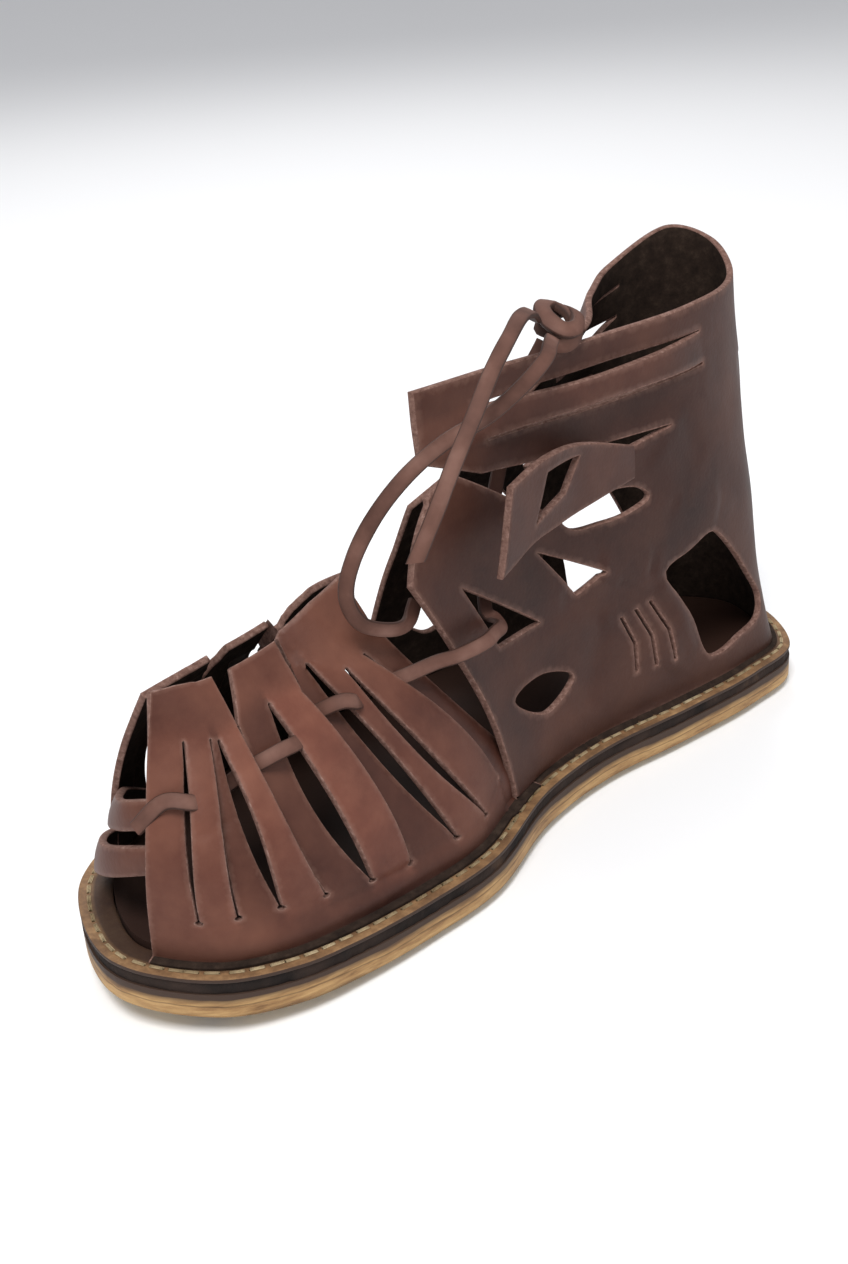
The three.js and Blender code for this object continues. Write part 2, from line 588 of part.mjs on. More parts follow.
// Free end of a strap that bends out of the quarter, with its own lace hole. It grows out
// of the wall between the eye opening and the slit above it
const FLAG = {
  root: [0.300, 0.640, 0.716],
  lower: [{ along: 0.445, out: -0.236, up: 1.11 }, { along: 0.523, out: -0.279, up: 1.11 },
    { along: 0.584, out: -0.317, up: 1.07 }],
  upper: [{ along: 0.431, out: -0.250, up: 1.365 }, { along: 0.502, out: -0.288, up: 1.40 },
    { along: 0.566, out: -0.317, up: 1.37 }],
};
const FLAG_HOLE = [[0.76, 0.24], [0.72, 0.80], [0.46, 0.84], [0.54, 0.40]];
function flagWall() {
  const [at, low, high] = FLAG.root;
  const root = (s) => quarterForm(-at, s).addScaledVector(outward(quarterForm, -at, s), -LEATHER / 4);
  const form = bandForm([root(low), ...FLAG.lower.map(spot)], [root(high), ...FLAG.upper.map(spot)]);
  const out = form(0.6, 0.5).sub(form(0.5, 0.5)).cross(form(0.6, 1).sub(form(0.6, 0))).normalize();
  const rims = [1, -1].flatMap((side) => FLAG_HOLE.map(
    ([u, s]) => form(u, s).addScaledVector(out, side * 3 * LEATHER)));
  const count = FLAG_HOLE.length;
  const faces = [];
  for (let i = 0; i < count; i += 1) {
    const next = (i + 1) % count;
    faces.push([i, i + count, next + count], [i, next + count, next]);
    if (i > 1) faces.push([0, i - 1, i], [count, i + count, i - 1 + count]);
  }
  return bandWall(form, 8, -1).subtract(toSolid(toGeometry(rims, faces)));
}

function upperSolid() {
  let solid = quarterWall();
  solid = solid.add(vampWall('medial'));
  solid = solid.add(vampWall('lateral'));
  toeBands().forEach((band) => {
    solid = solid.add(band);
  });
  return solid.add(flagWall()).simplify(MERGE_TOLERANCE);
}

// Layers of the sole: a flat plate between two heights that follows the toe spring
const PLATE_STATIONS = 30;
function plate(margin, bottom, thickness) {
  const loop = insetLoop(margin);
  const sides = [-1, 1].map((side) => sideLine(loop, side).line);
  const [back, front] = [sides[0][0].x, sides[0][sides[0].length - 1].x];
  const points = [];
  for (let k = 0; k <= PLATE_STATIONS; k += 1) {
    const share = (1 - Math.cos(Math.PI * (0.02 + 0.96 * k / PLATE_STATIONS))) / 2;
    const x = back + (front - back) * share;
    const ys = sides.map((line) => lookUp(line.map((p) => -p.x), line.map((p) => p.y), -x));
    for (const z of [bottom, bottom + thickness]) {
      ys.forEach((y) => points.push(new THREE.Vector3(x, y, z + springAt(x))));
    }
  }
  const faces = [];
  const quad = (a, b, c, d) => faces.push([a, b, c], [a, c, d]);
  for (let k = 0; k < PLATE_STATIONS; k += 1) {
    const [a, b] = [4 * k, 4 * k + 4];
    quad(a, a + 1, b + 1, b);
    quad(a + 2, b + 2, b + 3, a + 3);
    quad(a, b, b + 2, a + 2);
    quad(a + 1, a + 3, b + 3, b + 1);
  }
  const last = 4 * PLATE_STATIONS;
  quad(0, 2, 3, 1);
  quad(last, last + 1, last + 3, last + 2);
  return toGeometry(points, faces);
}

// Welt: a flat strip round the edge, on which the upper stands
function weltRing() {
  const rims = [insetLoop(0), insetLoop(WELT_WIDTH)];
  const count = rims[0].length;
  const points = [];
  for (let k = 0; k < count; k += 1) {
    for (const z of [WELT_Z, WELT_Z + WELT_THICKNESS]) {
      rims.forEach((rim) => points.push(new THREE.Vector3(rim[k].x, rim[k].y, z + springAt(rim[k].x))));
    }
  }
  const faces = [];
  const quad = (a, b, c, d) => faces.push([a, b, c], [a, c, d]);
  for (let k = 0; k < count; k += 1) {
    const [a, b] = [4 * k, 4 * ((k + 1) % count)];
    quad(a, a + 1, b + 1, b);
    quad(a + 2, b + 2, b + 3, a + 3);
    quad(a, b, b + 2, a + 2);
    quad(a + 1, a + 3, b + 3, b + 1);
  }
  return toGeometry(points, faces);
}

// Hobnail: a low dome with a flat crown, its back against the sole
const NAIL_SIDES = 10;
function nailGeometry() {
  const radius = NAIL_DIAMETER / 2;
  const profile = [
    [0, 0], [NAIL_CROWN / 2, 0], [radius, NAIL_HEIGHT * 0.7], [radius, NAIL_HEIGHT], [0, NAIL_HEIGHT],
  ];
  const turned = new THREE.LatheGeometry(profile.map(([r, z]) => new THREE.Vector2(r, z)), NAIL_SIDES);
  turned.rotateX(Math.PI / 2);
  return fromSolid(toSolid(turned));
}

// Leather lace. The run lies inside the straps from the outer front tab to the gap behind
// the last strap, crosses the front edge of the side and goes in through its first lace
// hole. Points are x, y, z in mm over the sole's face, before the sandal is centred
const LACE_WIDTH = 4.2;
const LACE_RUN = [
  [-250, 15, 53], [-256, 2, 53], [-250, -5, 52], [-237, -8.5, 53], [-222, -8, 54], [-206, -8, 54.5],
  [-195, -7.5, 56.5], [-187, -7.5, 58.5], [-180.5, -9.5, 61.2], [-177, -14, 63.8], [-177.2, -19.5, 66],
  [-177.6, -25.4, 68], [-172, -28.8, 69.6], [-163, -27.6, 69.6], [-157, -24.8, 69], [-154, -20, 68.6],
  [-153, -15.5, 69.4], [-150, -12.5, 74], [-147, -11, 82],
];
// The knot lies on the collar's edge; its side loop hangs round the front of the collar band
// and its free end down over the lace plate
const LACE_KNOT = [
  [-124, -18, 140.9], [-118, -20.5, 141.8], [-112, -17, 143], [-113, -11, 144.5], [-120, -9.5, 146],
  [-126, -13, 146.5],
];
const LACE_LOOP = [
  [-126, -19.3, 141.9], [-133.5, -25, 143], [-141, -29.5, 141.5], [-153, -31, 137],
  [-166, -31, 133], [-179, -29, 130], [-190, -26, 124], [-198, -22, 115], [-203, -18, 104],
  [-204, -15, 93], [-199.5, -14.5, 83.5], [-191, -15.5, 78.5], [-184, -15.5, 77.5], [-178, -13, 81],
];
const LACE_END = [
  [-126.9, -13.8, 147], [-134.5, -19, 151], [-145, -25, 153], [-155, -30, 151], [-166, -34, 146],
  [-176, -36.5, 137.5], [-184.5, -37, 127.5], [-192, -37, 117], [-199, -36, 106],
];
function laceGeometry(points, steps) {
  const path = new THREE.CatmullRomCurve3(
    points.map(([x, y, z]) => new THREE.Vector3(x, y, z + TREAD_Z)), false, 'centripetal');
  const outline = new THREE.Shape();
  const sides = 8;
  for (let i = 0; i < sides; i += 1) {
    const turn = 2 * Math.PI * (i + 0.5) / sides;
    const [x, y] = [Math.cos(turn), Math.sin(turn)].map((value) => value * LACE_WIDTH / 2);
    if (i === 0) outline.moveTo(x, y);
    else outline.lineTo(x, y);
  }
  outline.closePath();
  const swept = new THREE.ExtrudeGeometry(outline, { steps, extrudePath: path, curveSegments: 1 });
  return fromSolid(toSolid(swept));
}

const sandal = new THREE.Group();
function addMesh(name, geometry, colour, roughness, metalness = 0) {
  const material = new THREE.MeshStandardMaterial({ color: colour, roughness, metalness });
  const mesh = new THREE.Mesh(geometry, material);
  mesh.name = name;
  sandal.add(mesh);
  return mesh;
}

addMesh('outsole', plate(0, TREAD_Z, OUTSOLE_THICKNESS), COLOURS.tan, 0.8);
addMesh('midsole', plate(0.5, MIDSOLE_Z, MIDSOLE_THICKNESS), COLOURS.dark, 0.9);
addMesh('welt', weltRing(), COLOURS.welt, 0.8);
addMesh('insole', plate(INSOLE_INSET, WELT_Z, INSOLE_THICKNESS), COLOURS.insole, 0.7);
addMesh('upper', fromSolid(upperSolid()), COLOURS.brown, 0.55);

const nailShape = nailGeometry();
let nailNumber = 0;
NAILS.forEach(({ along, out }) => out.forEach((share) => {
  nailNumber += 1;
  const nail = addMesh(`hobnail_${String(nailNumber).padStart(2, '0')}`, nailShape, COLOURS.nail, 0.35, 0.9);
  const x = -along * SOLE_LENGTH;
  const slope = (springAt(x + 1) - springAt(x - 1)) / 2;
  nail.rotation.y = -Math.atan(slope);
  nail.position.set(x, share * BALL_WIDTH, springAt(x));
}));

addMesh('lace', laceGeometry(LACE_RUN, 36), COLOURS.lace, 0.7);

const print = new THREE.Box3().setFromObject(sandal);
const middle = print.getCenter(new THREE.Vector3());
sandal.position.set(-middle.x, -middle.y, -print.min.z);
addMesh('lace_knot', laceGeometry(LACE_KNOT, 20), COLOURS.lace, 0.7);
addMesh('lace_loop', laceGeometry(LACE_LOOP, 36), COLOURS.lace, 0.7);
addMesh('lace_end', laceGeometry(LACE_END, 24), COLOURS.lace, 0.7);
const whole = new THREE.Group();
whole.add(sandal);

export default whole;
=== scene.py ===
# A right gladiator sandal: a slit leather upper on a stacked leather sole with hobnails,
# standing empty on a pale floor. Metres, in the same frame as the solid model.
import json
import math

import bmesh
import bpy
import numpy as np
from mathutils import Matrix, Vector, geometry, kdtree, noise
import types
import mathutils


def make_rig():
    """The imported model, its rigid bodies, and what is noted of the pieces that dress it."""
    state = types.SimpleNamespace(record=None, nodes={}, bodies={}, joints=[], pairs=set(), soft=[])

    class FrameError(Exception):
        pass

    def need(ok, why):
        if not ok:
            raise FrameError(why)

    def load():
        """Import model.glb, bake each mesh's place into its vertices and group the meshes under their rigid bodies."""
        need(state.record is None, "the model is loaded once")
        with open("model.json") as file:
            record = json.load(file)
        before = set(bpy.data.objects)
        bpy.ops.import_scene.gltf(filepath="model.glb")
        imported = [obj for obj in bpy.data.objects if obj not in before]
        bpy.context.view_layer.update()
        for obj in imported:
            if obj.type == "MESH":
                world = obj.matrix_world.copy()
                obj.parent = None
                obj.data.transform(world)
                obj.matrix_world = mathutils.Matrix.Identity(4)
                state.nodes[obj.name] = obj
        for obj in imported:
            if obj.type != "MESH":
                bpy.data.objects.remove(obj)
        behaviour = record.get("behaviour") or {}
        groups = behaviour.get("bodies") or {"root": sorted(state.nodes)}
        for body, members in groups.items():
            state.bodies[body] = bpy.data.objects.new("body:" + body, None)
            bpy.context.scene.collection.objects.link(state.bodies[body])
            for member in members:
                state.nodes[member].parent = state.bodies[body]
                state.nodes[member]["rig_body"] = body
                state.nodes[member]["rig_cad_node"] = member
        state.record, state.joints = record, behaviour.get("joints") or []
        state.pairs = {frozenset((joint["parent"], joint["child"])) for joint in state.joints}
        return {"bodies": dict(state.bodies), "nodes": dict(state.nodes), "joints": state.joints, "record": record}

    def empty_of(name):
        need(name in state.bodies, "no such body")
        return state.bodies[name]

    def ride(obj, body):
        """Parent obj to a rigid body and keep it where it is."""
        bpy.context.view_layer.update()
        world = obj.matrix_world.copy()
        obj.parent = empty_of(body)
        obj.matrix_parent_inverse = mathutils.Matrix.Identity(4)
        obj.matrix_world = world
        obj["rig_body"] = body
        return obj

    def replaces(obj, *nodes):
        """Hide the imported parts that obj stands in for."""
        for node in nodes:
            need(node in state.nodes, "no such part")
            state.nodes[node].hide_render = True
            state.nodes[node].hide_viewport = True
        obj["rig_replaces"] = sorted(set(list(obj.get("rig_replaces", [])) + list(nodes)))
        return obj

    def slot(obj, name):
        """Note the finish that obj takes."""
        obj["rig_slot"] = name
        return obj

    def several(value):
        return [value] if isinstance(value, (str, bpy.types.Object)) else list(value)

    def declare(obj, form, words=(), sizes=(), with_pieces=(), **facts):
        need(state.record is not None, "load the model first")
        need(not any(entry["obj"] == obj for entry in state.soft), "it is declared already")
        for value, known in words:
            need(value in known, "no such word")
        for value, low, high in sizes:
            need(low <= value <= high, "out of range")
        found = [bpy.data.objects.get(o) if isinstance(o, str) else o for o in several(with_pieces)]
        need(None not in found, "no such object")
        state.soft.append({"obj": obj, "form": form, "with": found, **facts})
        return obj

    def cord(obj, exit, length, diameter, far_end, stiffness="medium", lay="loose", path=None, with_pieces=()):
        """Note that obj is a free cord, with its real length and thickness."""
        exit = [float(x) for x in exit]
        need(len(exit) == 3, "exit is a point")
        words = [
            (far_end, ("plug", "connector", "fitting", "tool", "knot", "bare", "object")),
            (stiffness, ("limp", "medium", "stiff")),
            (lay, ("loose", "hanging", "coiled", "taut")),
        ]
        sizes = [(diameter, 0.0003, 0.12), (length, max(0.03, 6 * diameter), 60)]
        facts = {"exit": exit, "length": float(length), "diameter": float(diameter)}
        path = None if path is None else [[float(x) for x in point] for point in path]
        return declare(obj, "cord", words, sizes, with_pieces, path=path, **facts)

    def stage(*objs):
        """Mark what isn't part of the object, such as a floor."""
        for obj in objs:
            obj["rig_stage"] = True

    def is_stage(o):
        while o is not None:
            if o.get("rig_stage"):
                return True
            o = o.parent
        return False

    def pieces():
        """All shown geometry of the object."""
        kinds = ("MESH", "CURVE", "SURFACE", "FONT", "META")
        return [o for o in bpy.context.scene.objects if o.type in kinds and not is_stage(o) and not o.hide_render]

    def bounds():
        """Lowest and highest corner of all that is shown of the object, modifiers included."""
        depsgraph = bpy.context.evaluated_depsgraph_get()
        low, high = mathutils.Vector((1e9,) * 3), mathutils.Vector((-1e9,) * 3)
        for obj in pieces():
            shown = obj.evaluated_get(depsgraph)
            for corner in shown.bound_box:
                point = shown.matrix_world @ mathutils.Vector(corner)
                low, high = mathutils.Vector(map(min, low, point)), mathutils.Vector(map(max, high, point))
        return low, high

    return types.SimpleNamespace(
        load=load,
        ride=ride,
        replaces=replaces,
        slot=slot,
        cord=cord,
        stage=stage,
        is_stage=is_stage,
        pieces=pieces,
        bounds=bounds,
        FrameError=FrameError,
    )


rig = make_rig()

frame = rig.load()
solid_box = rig.bounds()

# Camera
# The photograph's own viewpoint, about 45 cm from the sandal and 30 degrees above it,
# turned to bring the one sandal to the middle of the frame and zoomed in on it.
camera_at = Vector((-0.29843, -0.29648, 0.26026))
aimed_at = Vector((-0.0243, -0.0123, 0.0662))
camera_data = bpy.data.cameras.new("camera")
camera_data.lens = 44.0
camera_data.clip_start = 0.01


def placed(name, data):
    made = bpy.data.objects.new(name, data)
    bpy.context.scene.collection.objects.link(made)
    return made


camera = placed("camera", camera_data)
turned = (aimed_at - camera_at).to_track_quat("-Z", "Y").to_matrix().to_4x4()
roll = Matrix.Rotation(math.radians(-3.89), 4, "Z")
camera.matrix_world = Matrix.Translation(camera_at) @ turned @ roll
bpy.context.scene.camera = camera

# Floor and light
# A plain pale studio table with a soft key from the upper left and a wide fill.
bpy.ops.object.select_all(action="DESELECT")
bpy.ops.mesh.primitive_plane_add(size=14, location=(0, 0, 0))
floor = bpy.context.object
floor.name = "floor"
pale = bpy.data.materials.new("pale_floor")
pale.use_nodes = True
pale.node_tree.nodes["Principled BSDF"].inputs["Base Color"].default_value = (0.9, 0.9, 0.9, 1)
pale.node_tree.nodes["Principled BSDF"].inputs["Roughness"].default_value = 0.7
floor.data.materials.append(pale)
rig.stage(floor)
for light_name, place, size, power in (
    ("key", (-0.7, -0.45, 1.5), 0.6, 24),
    ("fill", (0.9, -1.5, 0.8), 1.4, 5),
    ("rim", (0.8, 1.0, 1.3), 0.8, 9),
):
    light_data = bpy.data.lights.new(light_name, "AREA")
    light_data.size = size
    light_data.energy = power
    light = placed(light_name, light_data)
    light.location = place
    towards = Vector((0, 0, 0.06)) - Vector(place)
    light.rotation_euler = towards.to_track_quat("-Z", "Y").to_euler()
world = bpy.data.worlds.new("studio")
world.use_nodes = True
world.node_tree.nodes["Background"].inputs["Color"].default_value = (0.95, 0.96, 1.0, 1)
world.node_tree.nodes["Background"].inputs["Strength"].default_value = 0.52
bpy.context.scene.world = world
bpy.context.scene.view_settings.view_transform = "Standard"

# Outsole
# Two layers of tanned leather, 7 mm thick together, cut to the foot's outline, with a smooth
# bottom face and a rough, burnished edge that lifts a little at the toe.
SOLE_LENGTH = 281.0
BALL_WIDTH = 104.0
TREAD_Z = 2.8
OUTSOLE_THICK = 7.0
TOE_SPRING = 5.2
SPRING_STARTS = 0.69
MIDDLE = Vector((140.489, -10.325, 0.009))
EDGE_STEPS = 480
# Shares of the length from the heel, then of the ball width to the inner and outer side
OUTLINE = [
    (0.071, 0.317, 0.340), (0.160, 0.346, 0.420), (0.285, 0.315, 0.487), (0.409, 0.268, 0.539),
    (0.516, 0.288, 0.580), (0.641, 0.393, 0.596), (0.730, 0.396, 0.594), (0.819, 0.380, 0.541),
    (0.890, 0.345, 0.455), (0.954, 0.250, 0.315),
]


def spring(x):
    past = -x - SPRING_STARTS * SOLE_LENGTH
    return TOE_SPRING * (past / ((1 - SPRING_STARTS) * SOLE_LENGTH)) ** 2 if past > 0 else 0.0


def metres(point):
    return (Vector(point) + MIDDLE) * 0.001


def hermite(start, end, leaving, arriving, t):
    return (
        start * (2 * t**3 - 3 * t**2 + 1) + leaving * (t**3 - 2 * t**2 + t)
        + end * (3 * t**2 - 2 * t**3) + arriving * (t**3 - t**2))


def reached(values, wanted):
    """The first place after the start where rising values reach the wanted one."""
    k = 1
    while k < len(values) - 1 and values[k] < wanted:
        k += 1
    return k


def lengths_along(line):
    arc = [0.0]
    for a, b in zip(line, line[1:]):
        arc.append(arc[-1] + (b - a).length)
    return arc


def at_length(line, arc, want):
    k = reached(arc, want)
    return line[k - 1].lerp(line[k], (want - arc[k - 1]) / (arc[k] - arc[k - 1]))


def closed_curve(corners, steps):
    """Evenly spaced points of a smooth closed line through the corners."""
    fine = []
    count = len(corners)
    for i in range(count):
        p = [corners[(i + k - 1) % count] for k in range(4)]
        d = [max((p[k + 1] - p[k]).length ** 0.5, 1e-6) for k in range(3)]
        m1 = ((p[1] - p[0]) / d[0] - (p[2] - p[0]) / (d[0] + d[1]) + (p[2] - p[1]) / d[1]) * d[1]
        m2 = ((p[2] - p[1]) / d[1] - (p[3] - p[1]) / (d[1] + d[2]) + (p[3] - p[2]) / d[2]) * d[1]
        fine += [hermite(p[1], p[2], m1, m2, k / 24) for k in range(24)]
    fine.append(fine[0].copy())
    arc = lengths_along(fine)
    return [at_length(fine, arc, arc[-1] * i / steps) for i in range(steps)]


edge_corners = [Vector((0, 0.01 * BALL_WIDTH, 0))]
edge_corners += [Vector((-a * SOLE_LENGTH, -m * BALL_WIDTH, 0)) for a, m, _ in OUTLINE]
edge_corners += [Vector((-SOLE_LENGTH, -0.01 * BALL_WIDTH, 0))]
edge_corners += [Vector((-a * SOLE_LENGTH, l * BALL_WIDTH, 0)) for a, _, l in reversed(OUTLINE)]
sole_edge = closed_curve(edge_corners, EDGE_STEPS)


def inset_edge(margin):
    loop, count = [], len(sole_edge)
    for i, point in enumerate(sole_edge):
        run = (sole_edge[(i + 1) % count] - sole_edge[i - 1]).normalized()
        loop.append(Vector((point.x + run.y * margin, point.y - run.x * margin, 0)))
    return loop


def side_line(loop, side):
    """One side of a loop from the heel's back to the toe's tip."""
    heel = max(range(len(loop)), key=lambda i: loop[i].x)
    tip = min(range(len(loop)), key=lambda i: loop[i].x)
    line, i = [], heel
    while True:
        line.append(loop[i])
        if i == tip:
            return line
        i = (i - side) % len(loop)


def between(xs, ys, x):
    k = reached(xs, x)
    return ys[k - 1] + (ys[k] - ys[k - 1]) * (x - xs[k - 1]) / (xs[k] - xs[k - 1])


def mark(mesh, title, values):
    """A value at every point, for the finishes to read."""
    mesh.attributes.new(title, "FLOAT", "POINT").data.foreach_set("value", values)


def thickened(piece, thick, rounding, segments):
    """The active flat piece extruded upwards, its rims rounded; both in mm."""
    bpy.ops.object.mode_set(mode="EDIT")
    bpy.ops.mesh.select_all(action="SELECT")
    bpy.ops.mesh.extrude_region_move(TRANSFORM_OT_translate={"value": (0, 0, thick * 0.001)})
    bpy.ops.mesh.select_all(action="SELECT")
    bpy.ops.mesh.normals_make_consistent(inside=False)
    bpy.ops.object.mode_set(mode="OBJECT")
    rounded = piece.modifiers.new("rounded", "BEVEL")
    rounded.width = rounding * 0.001
    rounded.segments = segments
    rounded.limit_method = "ANGLE"
    rounded.angle_limit = math.radians(55)
    bpy.ops.object.modifier_apply(modifier="rounded")
    bpy.ops.object.shade_smooth_by_angle(angle=math.radians(40))


def sole_layer(name, margin, low, thick, rounding, lengthwise=110, across=14):
    """A grid shaped to the sole's outline, extruded upwards, its two rims rounded."""
    loop = inset_edge(margin)
    sides = [side_line(loop, -1), side_line(loop, 1)]
    ends = sides[0][0].x, sides[0][-1].x
    bpy.ops.object.select_all(action="DESELECT")
    bpy.ops.mesh.primitive_grid_add(x_subdivisions=lengthwise, y_subdivisions=across, size=2)
    piece = bpy.context.object
    piece.name = name
    for vertex in piece.data.vertices:
        share = 0.5 - 0.5 * math.cos(math.pi * (0.012 + 0.976 * (1 - vertex.co.x) / 2))
        x = ends[0] + (ends[1] - ends[0]) * share
        inner, outer = [between([-p.x for p in s], [p.y for p in s], -x) for s in sides]
        y = inner + (outer - inner) * (math.sin(vertex.co.y * math.pi / 2) + 1) / 2
        vertex.co = metres((x, y, low + spring(x)))
    thickened(piece, thick, rounding, 3)
    mark(piece.data, "layer", [
        (v.co.z * 1000 - MIDDLE.z - spring(v.co.x * 1000 - MIDDLE.x) - low) / thick
        for v in piece.data.vertices])
    return piece


class Finish:
    """A node material under construction."""

    def __init__(self, name, roughness, specular=0.5, metallic=0.0):
        self.material = bpy.data.materials.new(name)
        self.material.use_nodes = True
        self.tree = self.material.node_tree
        self.shader = self.tree.nodes["Principled BSDF"]
        self.shader.inputs["Roughness"].default_value = roughness
        self.shader.inputs["Specular IOR Level"].default_value = specular
        self.shader.inputs["Metallic"].default_value = metallic
        self.place = self.add("ShaderNodeTexCoord").outputs["Object"]

    def add(self, kind, inputs=(), **settings):
        made = self.tree.nodes.new(kind)
        for key, value in settings.items():
            setattr(made, key, value)
        for key, value in dict(inputs).items():
            if isinstance(value, bpy.types.NodeSocket):
                self.tree.links.new(value, made.inputs[key])
            else:
                made.inputs[key].default_value = value
        return made

    def noise(self, scale, detail=4.0, stretch=(1, 1, 1), rough=0.55):
        spread = self.add("ShaderNodeMapping", {"Vector": self.place, "Scale": stretch})
        return self.add("ShaderNodeTexNoise", {
            "Vector": spread.outputs[0], "Scale": scale, "Detail": detail, "Roughness": rough,
        }).outputs["Fac"]

    def steps(self, value, *stops):
        """A colour ramp through (place, colour) stops."""
        ramp = self.add("ShaderNodeValToRGB", {"Fac": value})
        points = ramp.color_ramp.elements
        while len(points) < len(stops):
            points.new(0.5)
        for point, (at, colour) in zip(points, stops):
            point.position = at
            point.color = (*colour, 1) if isinstance(colour, tuple) else (colour,) * 3 + (1,)
        return ramp.outputs[0]

    def mix(self, share, under, over, way="MIX"):
        inputs = {0: share, 6: under, 7: (*over, 1) if isinstance(over, tuple) else over}
        return self.add("ShaderNodeMix", inputs, data_type="RGBA", blend_type=way).outputs[2]

    def sum(self, first, second):
        return self.add("ShaderNodeMath", {0: first, 1: second}, operation="ADD").outputs[0]

    def product(self, first, second):
        return self.add("ShaderNodeMath", {0: first, 1: second}, operation="MULTIPLY").outputs[0]

    def upward(self):
        """How far the surface looks up, from -1 to 1."""
        normal = self.add("ShaderNodeNewGeometry").outputs["Normal"]
        return self.add("ShaderNodeSeparateXYZ", {0: normal}).outputs["Z"]

    def between(self, value, low, high):
        """0 where the value is at low, 1 where it is at high."""
        limits = {"Value": value, "From Min": low, "From Max": high}
        return self.add("ShaderNodeMapRange", limits).outputs[0]

    def attribute(self, name):
        return self.add("ShaderNodeAttribute", attribute_name=name).outputs["Fac"]

    def colour(self, value):
        self.tree.links.new(value, self.shader.inputs["Base Color"])

    def roughness(self, value, low, high):
        spread = self.add("ShaderNodeMapRange", {"Value": value, "To Min": low, "To Max": high})
        self.tree.links.new(spread.outputs[0], self.shader.inputs["Roughness"])

    def bump(self, *layers):
        """Bumps laid over each other, each (value, depth in mm, strength)."""
        normal = None
        for value, depth, strength in layers:
            made = self.add("ShaderNodeBump", {
                "Height": value, "Distance": depth * 0.001, "Strength": strength})
            if normal is not None:
                self.tree.links.new(normal, made.inputs["Normal"])
            normal = made.outputs[0]
        self.tree.links.new(normal, self.shader.inputs["Normal"])


edge_tan = Finish("sole_edge_leather", 0.62, 0.35)
streaks = edge_tan.noise(60, 6, (1, 1, 7), 0.7)
blotches = edge_tan.noise(28, 3)
layer = edge_tan.attribute("layer")
cut = edge_tan.steps(
    streaks,
    (0.30, (0.15, 0.072, 0.026)), (0.46, (0.33, 0.185, 0.072)), (0.64, (0.50, 0.310, 0.130)))
wavering = edge_tan.sum(layer, edge_tan.product(edge_tan.noise(25, 4), 0.5))
seam = edge_tan.steps(
    wavering, (0.22, 0.5), (0.34, 1.0), (0.66, 1.0), (0.71, 0.45), (0.76, 1.0), (1.0, 1.0))
cut = edge_tan.mix(1.0, cut, seam, "MULTIPLY")
upper_half = edge_tan.steps(wavering, (0.76, 0.0), (1.0, 0.8), (1.2, 1.0))
cut = edge_tan.mix(upper_half, cut, (0.045, 0.024, 0.015))
below = edge_tan.between(edge_tan.upward(), -0.55, -0.85)
face = edge_tan.steps(
    edge_tan.noise(9, 5), (0.3, (0.50, 0.375, 0.21)), (0.7, (0.60, 0.465, 0.275)))
scuffs = edge_tan.steps(
    edge_tan.noise(70, 3, (1, 5, 1)), (0.30, (0.72, 0.66, 0.60)), (0.42, (1.0, 1.0, 1.0)))
face = edge_tan.mix(0.3, face, edge_tan.mix(1.0, face, scuffs, "MULTIPLY"))
edge_tan.colour(edge_tan.mix(below, cut, face))
edge_tan.roughness(streaks, 0.5, 0.75)
edge_tan.bump((streaks, 0.35, 0.5), (edge_tan.noise(900, 3), 0.08, 0.4), (blotches, 0.4, 0.3))

outsole = sole_layer("sandal_outsole", 0.0, TREAD_Z, OUTSOLE_THICK, 1.0)
outsole.data.materials.append(edge_tan.material)
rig.ride(outsole, "root")
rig.replaces(outsole, "outsole")
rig.slot(outsole, "outsole")

# Midsole
# A thin, dark, crumbly layer of glued rubber and leather dust between outsole and welt.
# Its edge is ragged, so its rim is pushed in and out by up to half a millimetre.
MIDSOLE_Z = 10.1
MIDSOLE_THICK = 2.8
crumb = Finish("dark_crumb", 0.9, 0.2)
grit = crumb.noise(420, 5)
tone = crumb.steps(
    crumb.noise(60, 5),
    (0.34, (0.012, 0.009, 0.008)), (0.60, (0.035, 0.022, 0.017)), (0.76, (0.11, 0.062, 0.035)))
crumb.colour(tone)
crumb.bump((grit, 0.5, 0.9), (crumb.noise(90, 3), 0.6, 0.6))
midsole = sole_layer("sandal_midsole", 0.6, MIDSOLE_Z - 0.3, MIDSOLE_THICK + 0.6, 0.4, 180, 8)
for vertex in midsole.data.vertices:
    centre = Vector((vertex.co.x, 0, vertex.co.z))
    ragged = noise.noise(vertex.co * 380) * 0.45 + noise.noise(vertex.co * 1300) * 0.2
    vertex.co += (vertex.co - centre).normalized() * ragged * 0.001
midsole.data.materials.append(crumb.material)
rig.ride(midsole, "root")
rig.replaces(midsole, "midsole")
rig.slot(midsole, "midsole")

# Welt
# A flat leather strip, 9 mm wide, that the upper stands on and that the thread goes through.
# Its upper side is golden brown, with painted shade darkening it towards the upper.
WELT_Z = 13.2
WELT_THICK = 1.3
WELT_WIDTH = 9.4
WELT_ROWS = 8
WELT_LIP = 0.12
welt_leather = Finish("welt_leather", 0.6, 0.3)
fibres = welt_leather.noise(130, 6, (1, 1, 3), 0.7)
tone = welt_leather.steps(
    fibres, (0.28, (0.075, 0.038, 0.02)), (0.5, (0.20, 0.108, 0.05)), (0.72, (0.36, 0.215, 0.10)))
# Painted shade: the welt's upper side darkens from the stitch line inwards to the upper.
painted_shade_by_upper = welt_leather.steps(welt_leather.attribute("inwards"), (0.30, 0.0), (0.48, 0.9))
tone = welt_leather.mix(painted_shade_by_upper, tone, (0.030, 0.014, 0.009))
side_on = welt_leather.between(welt_leather.upward(), 0.8, 0.3)
welt_leather.colour(welt_leather.mix(side_on, tone, (0.042, 0.022, 0.014)))
welt_leather.bump((fibres, 0.4, 0.6), (welt_leather.noise(800, 3), 0.1, 0.5))
bpy.ops.object.select_all(action="DESELECT")
bpy.ops.mesh.primitive_grid_add(x_subdivisions=EDGE_STEPS, y_subdivisions=WELT_ROWS, size=2)
welt = bpy.context.object
welt.name = "sandal_welt"
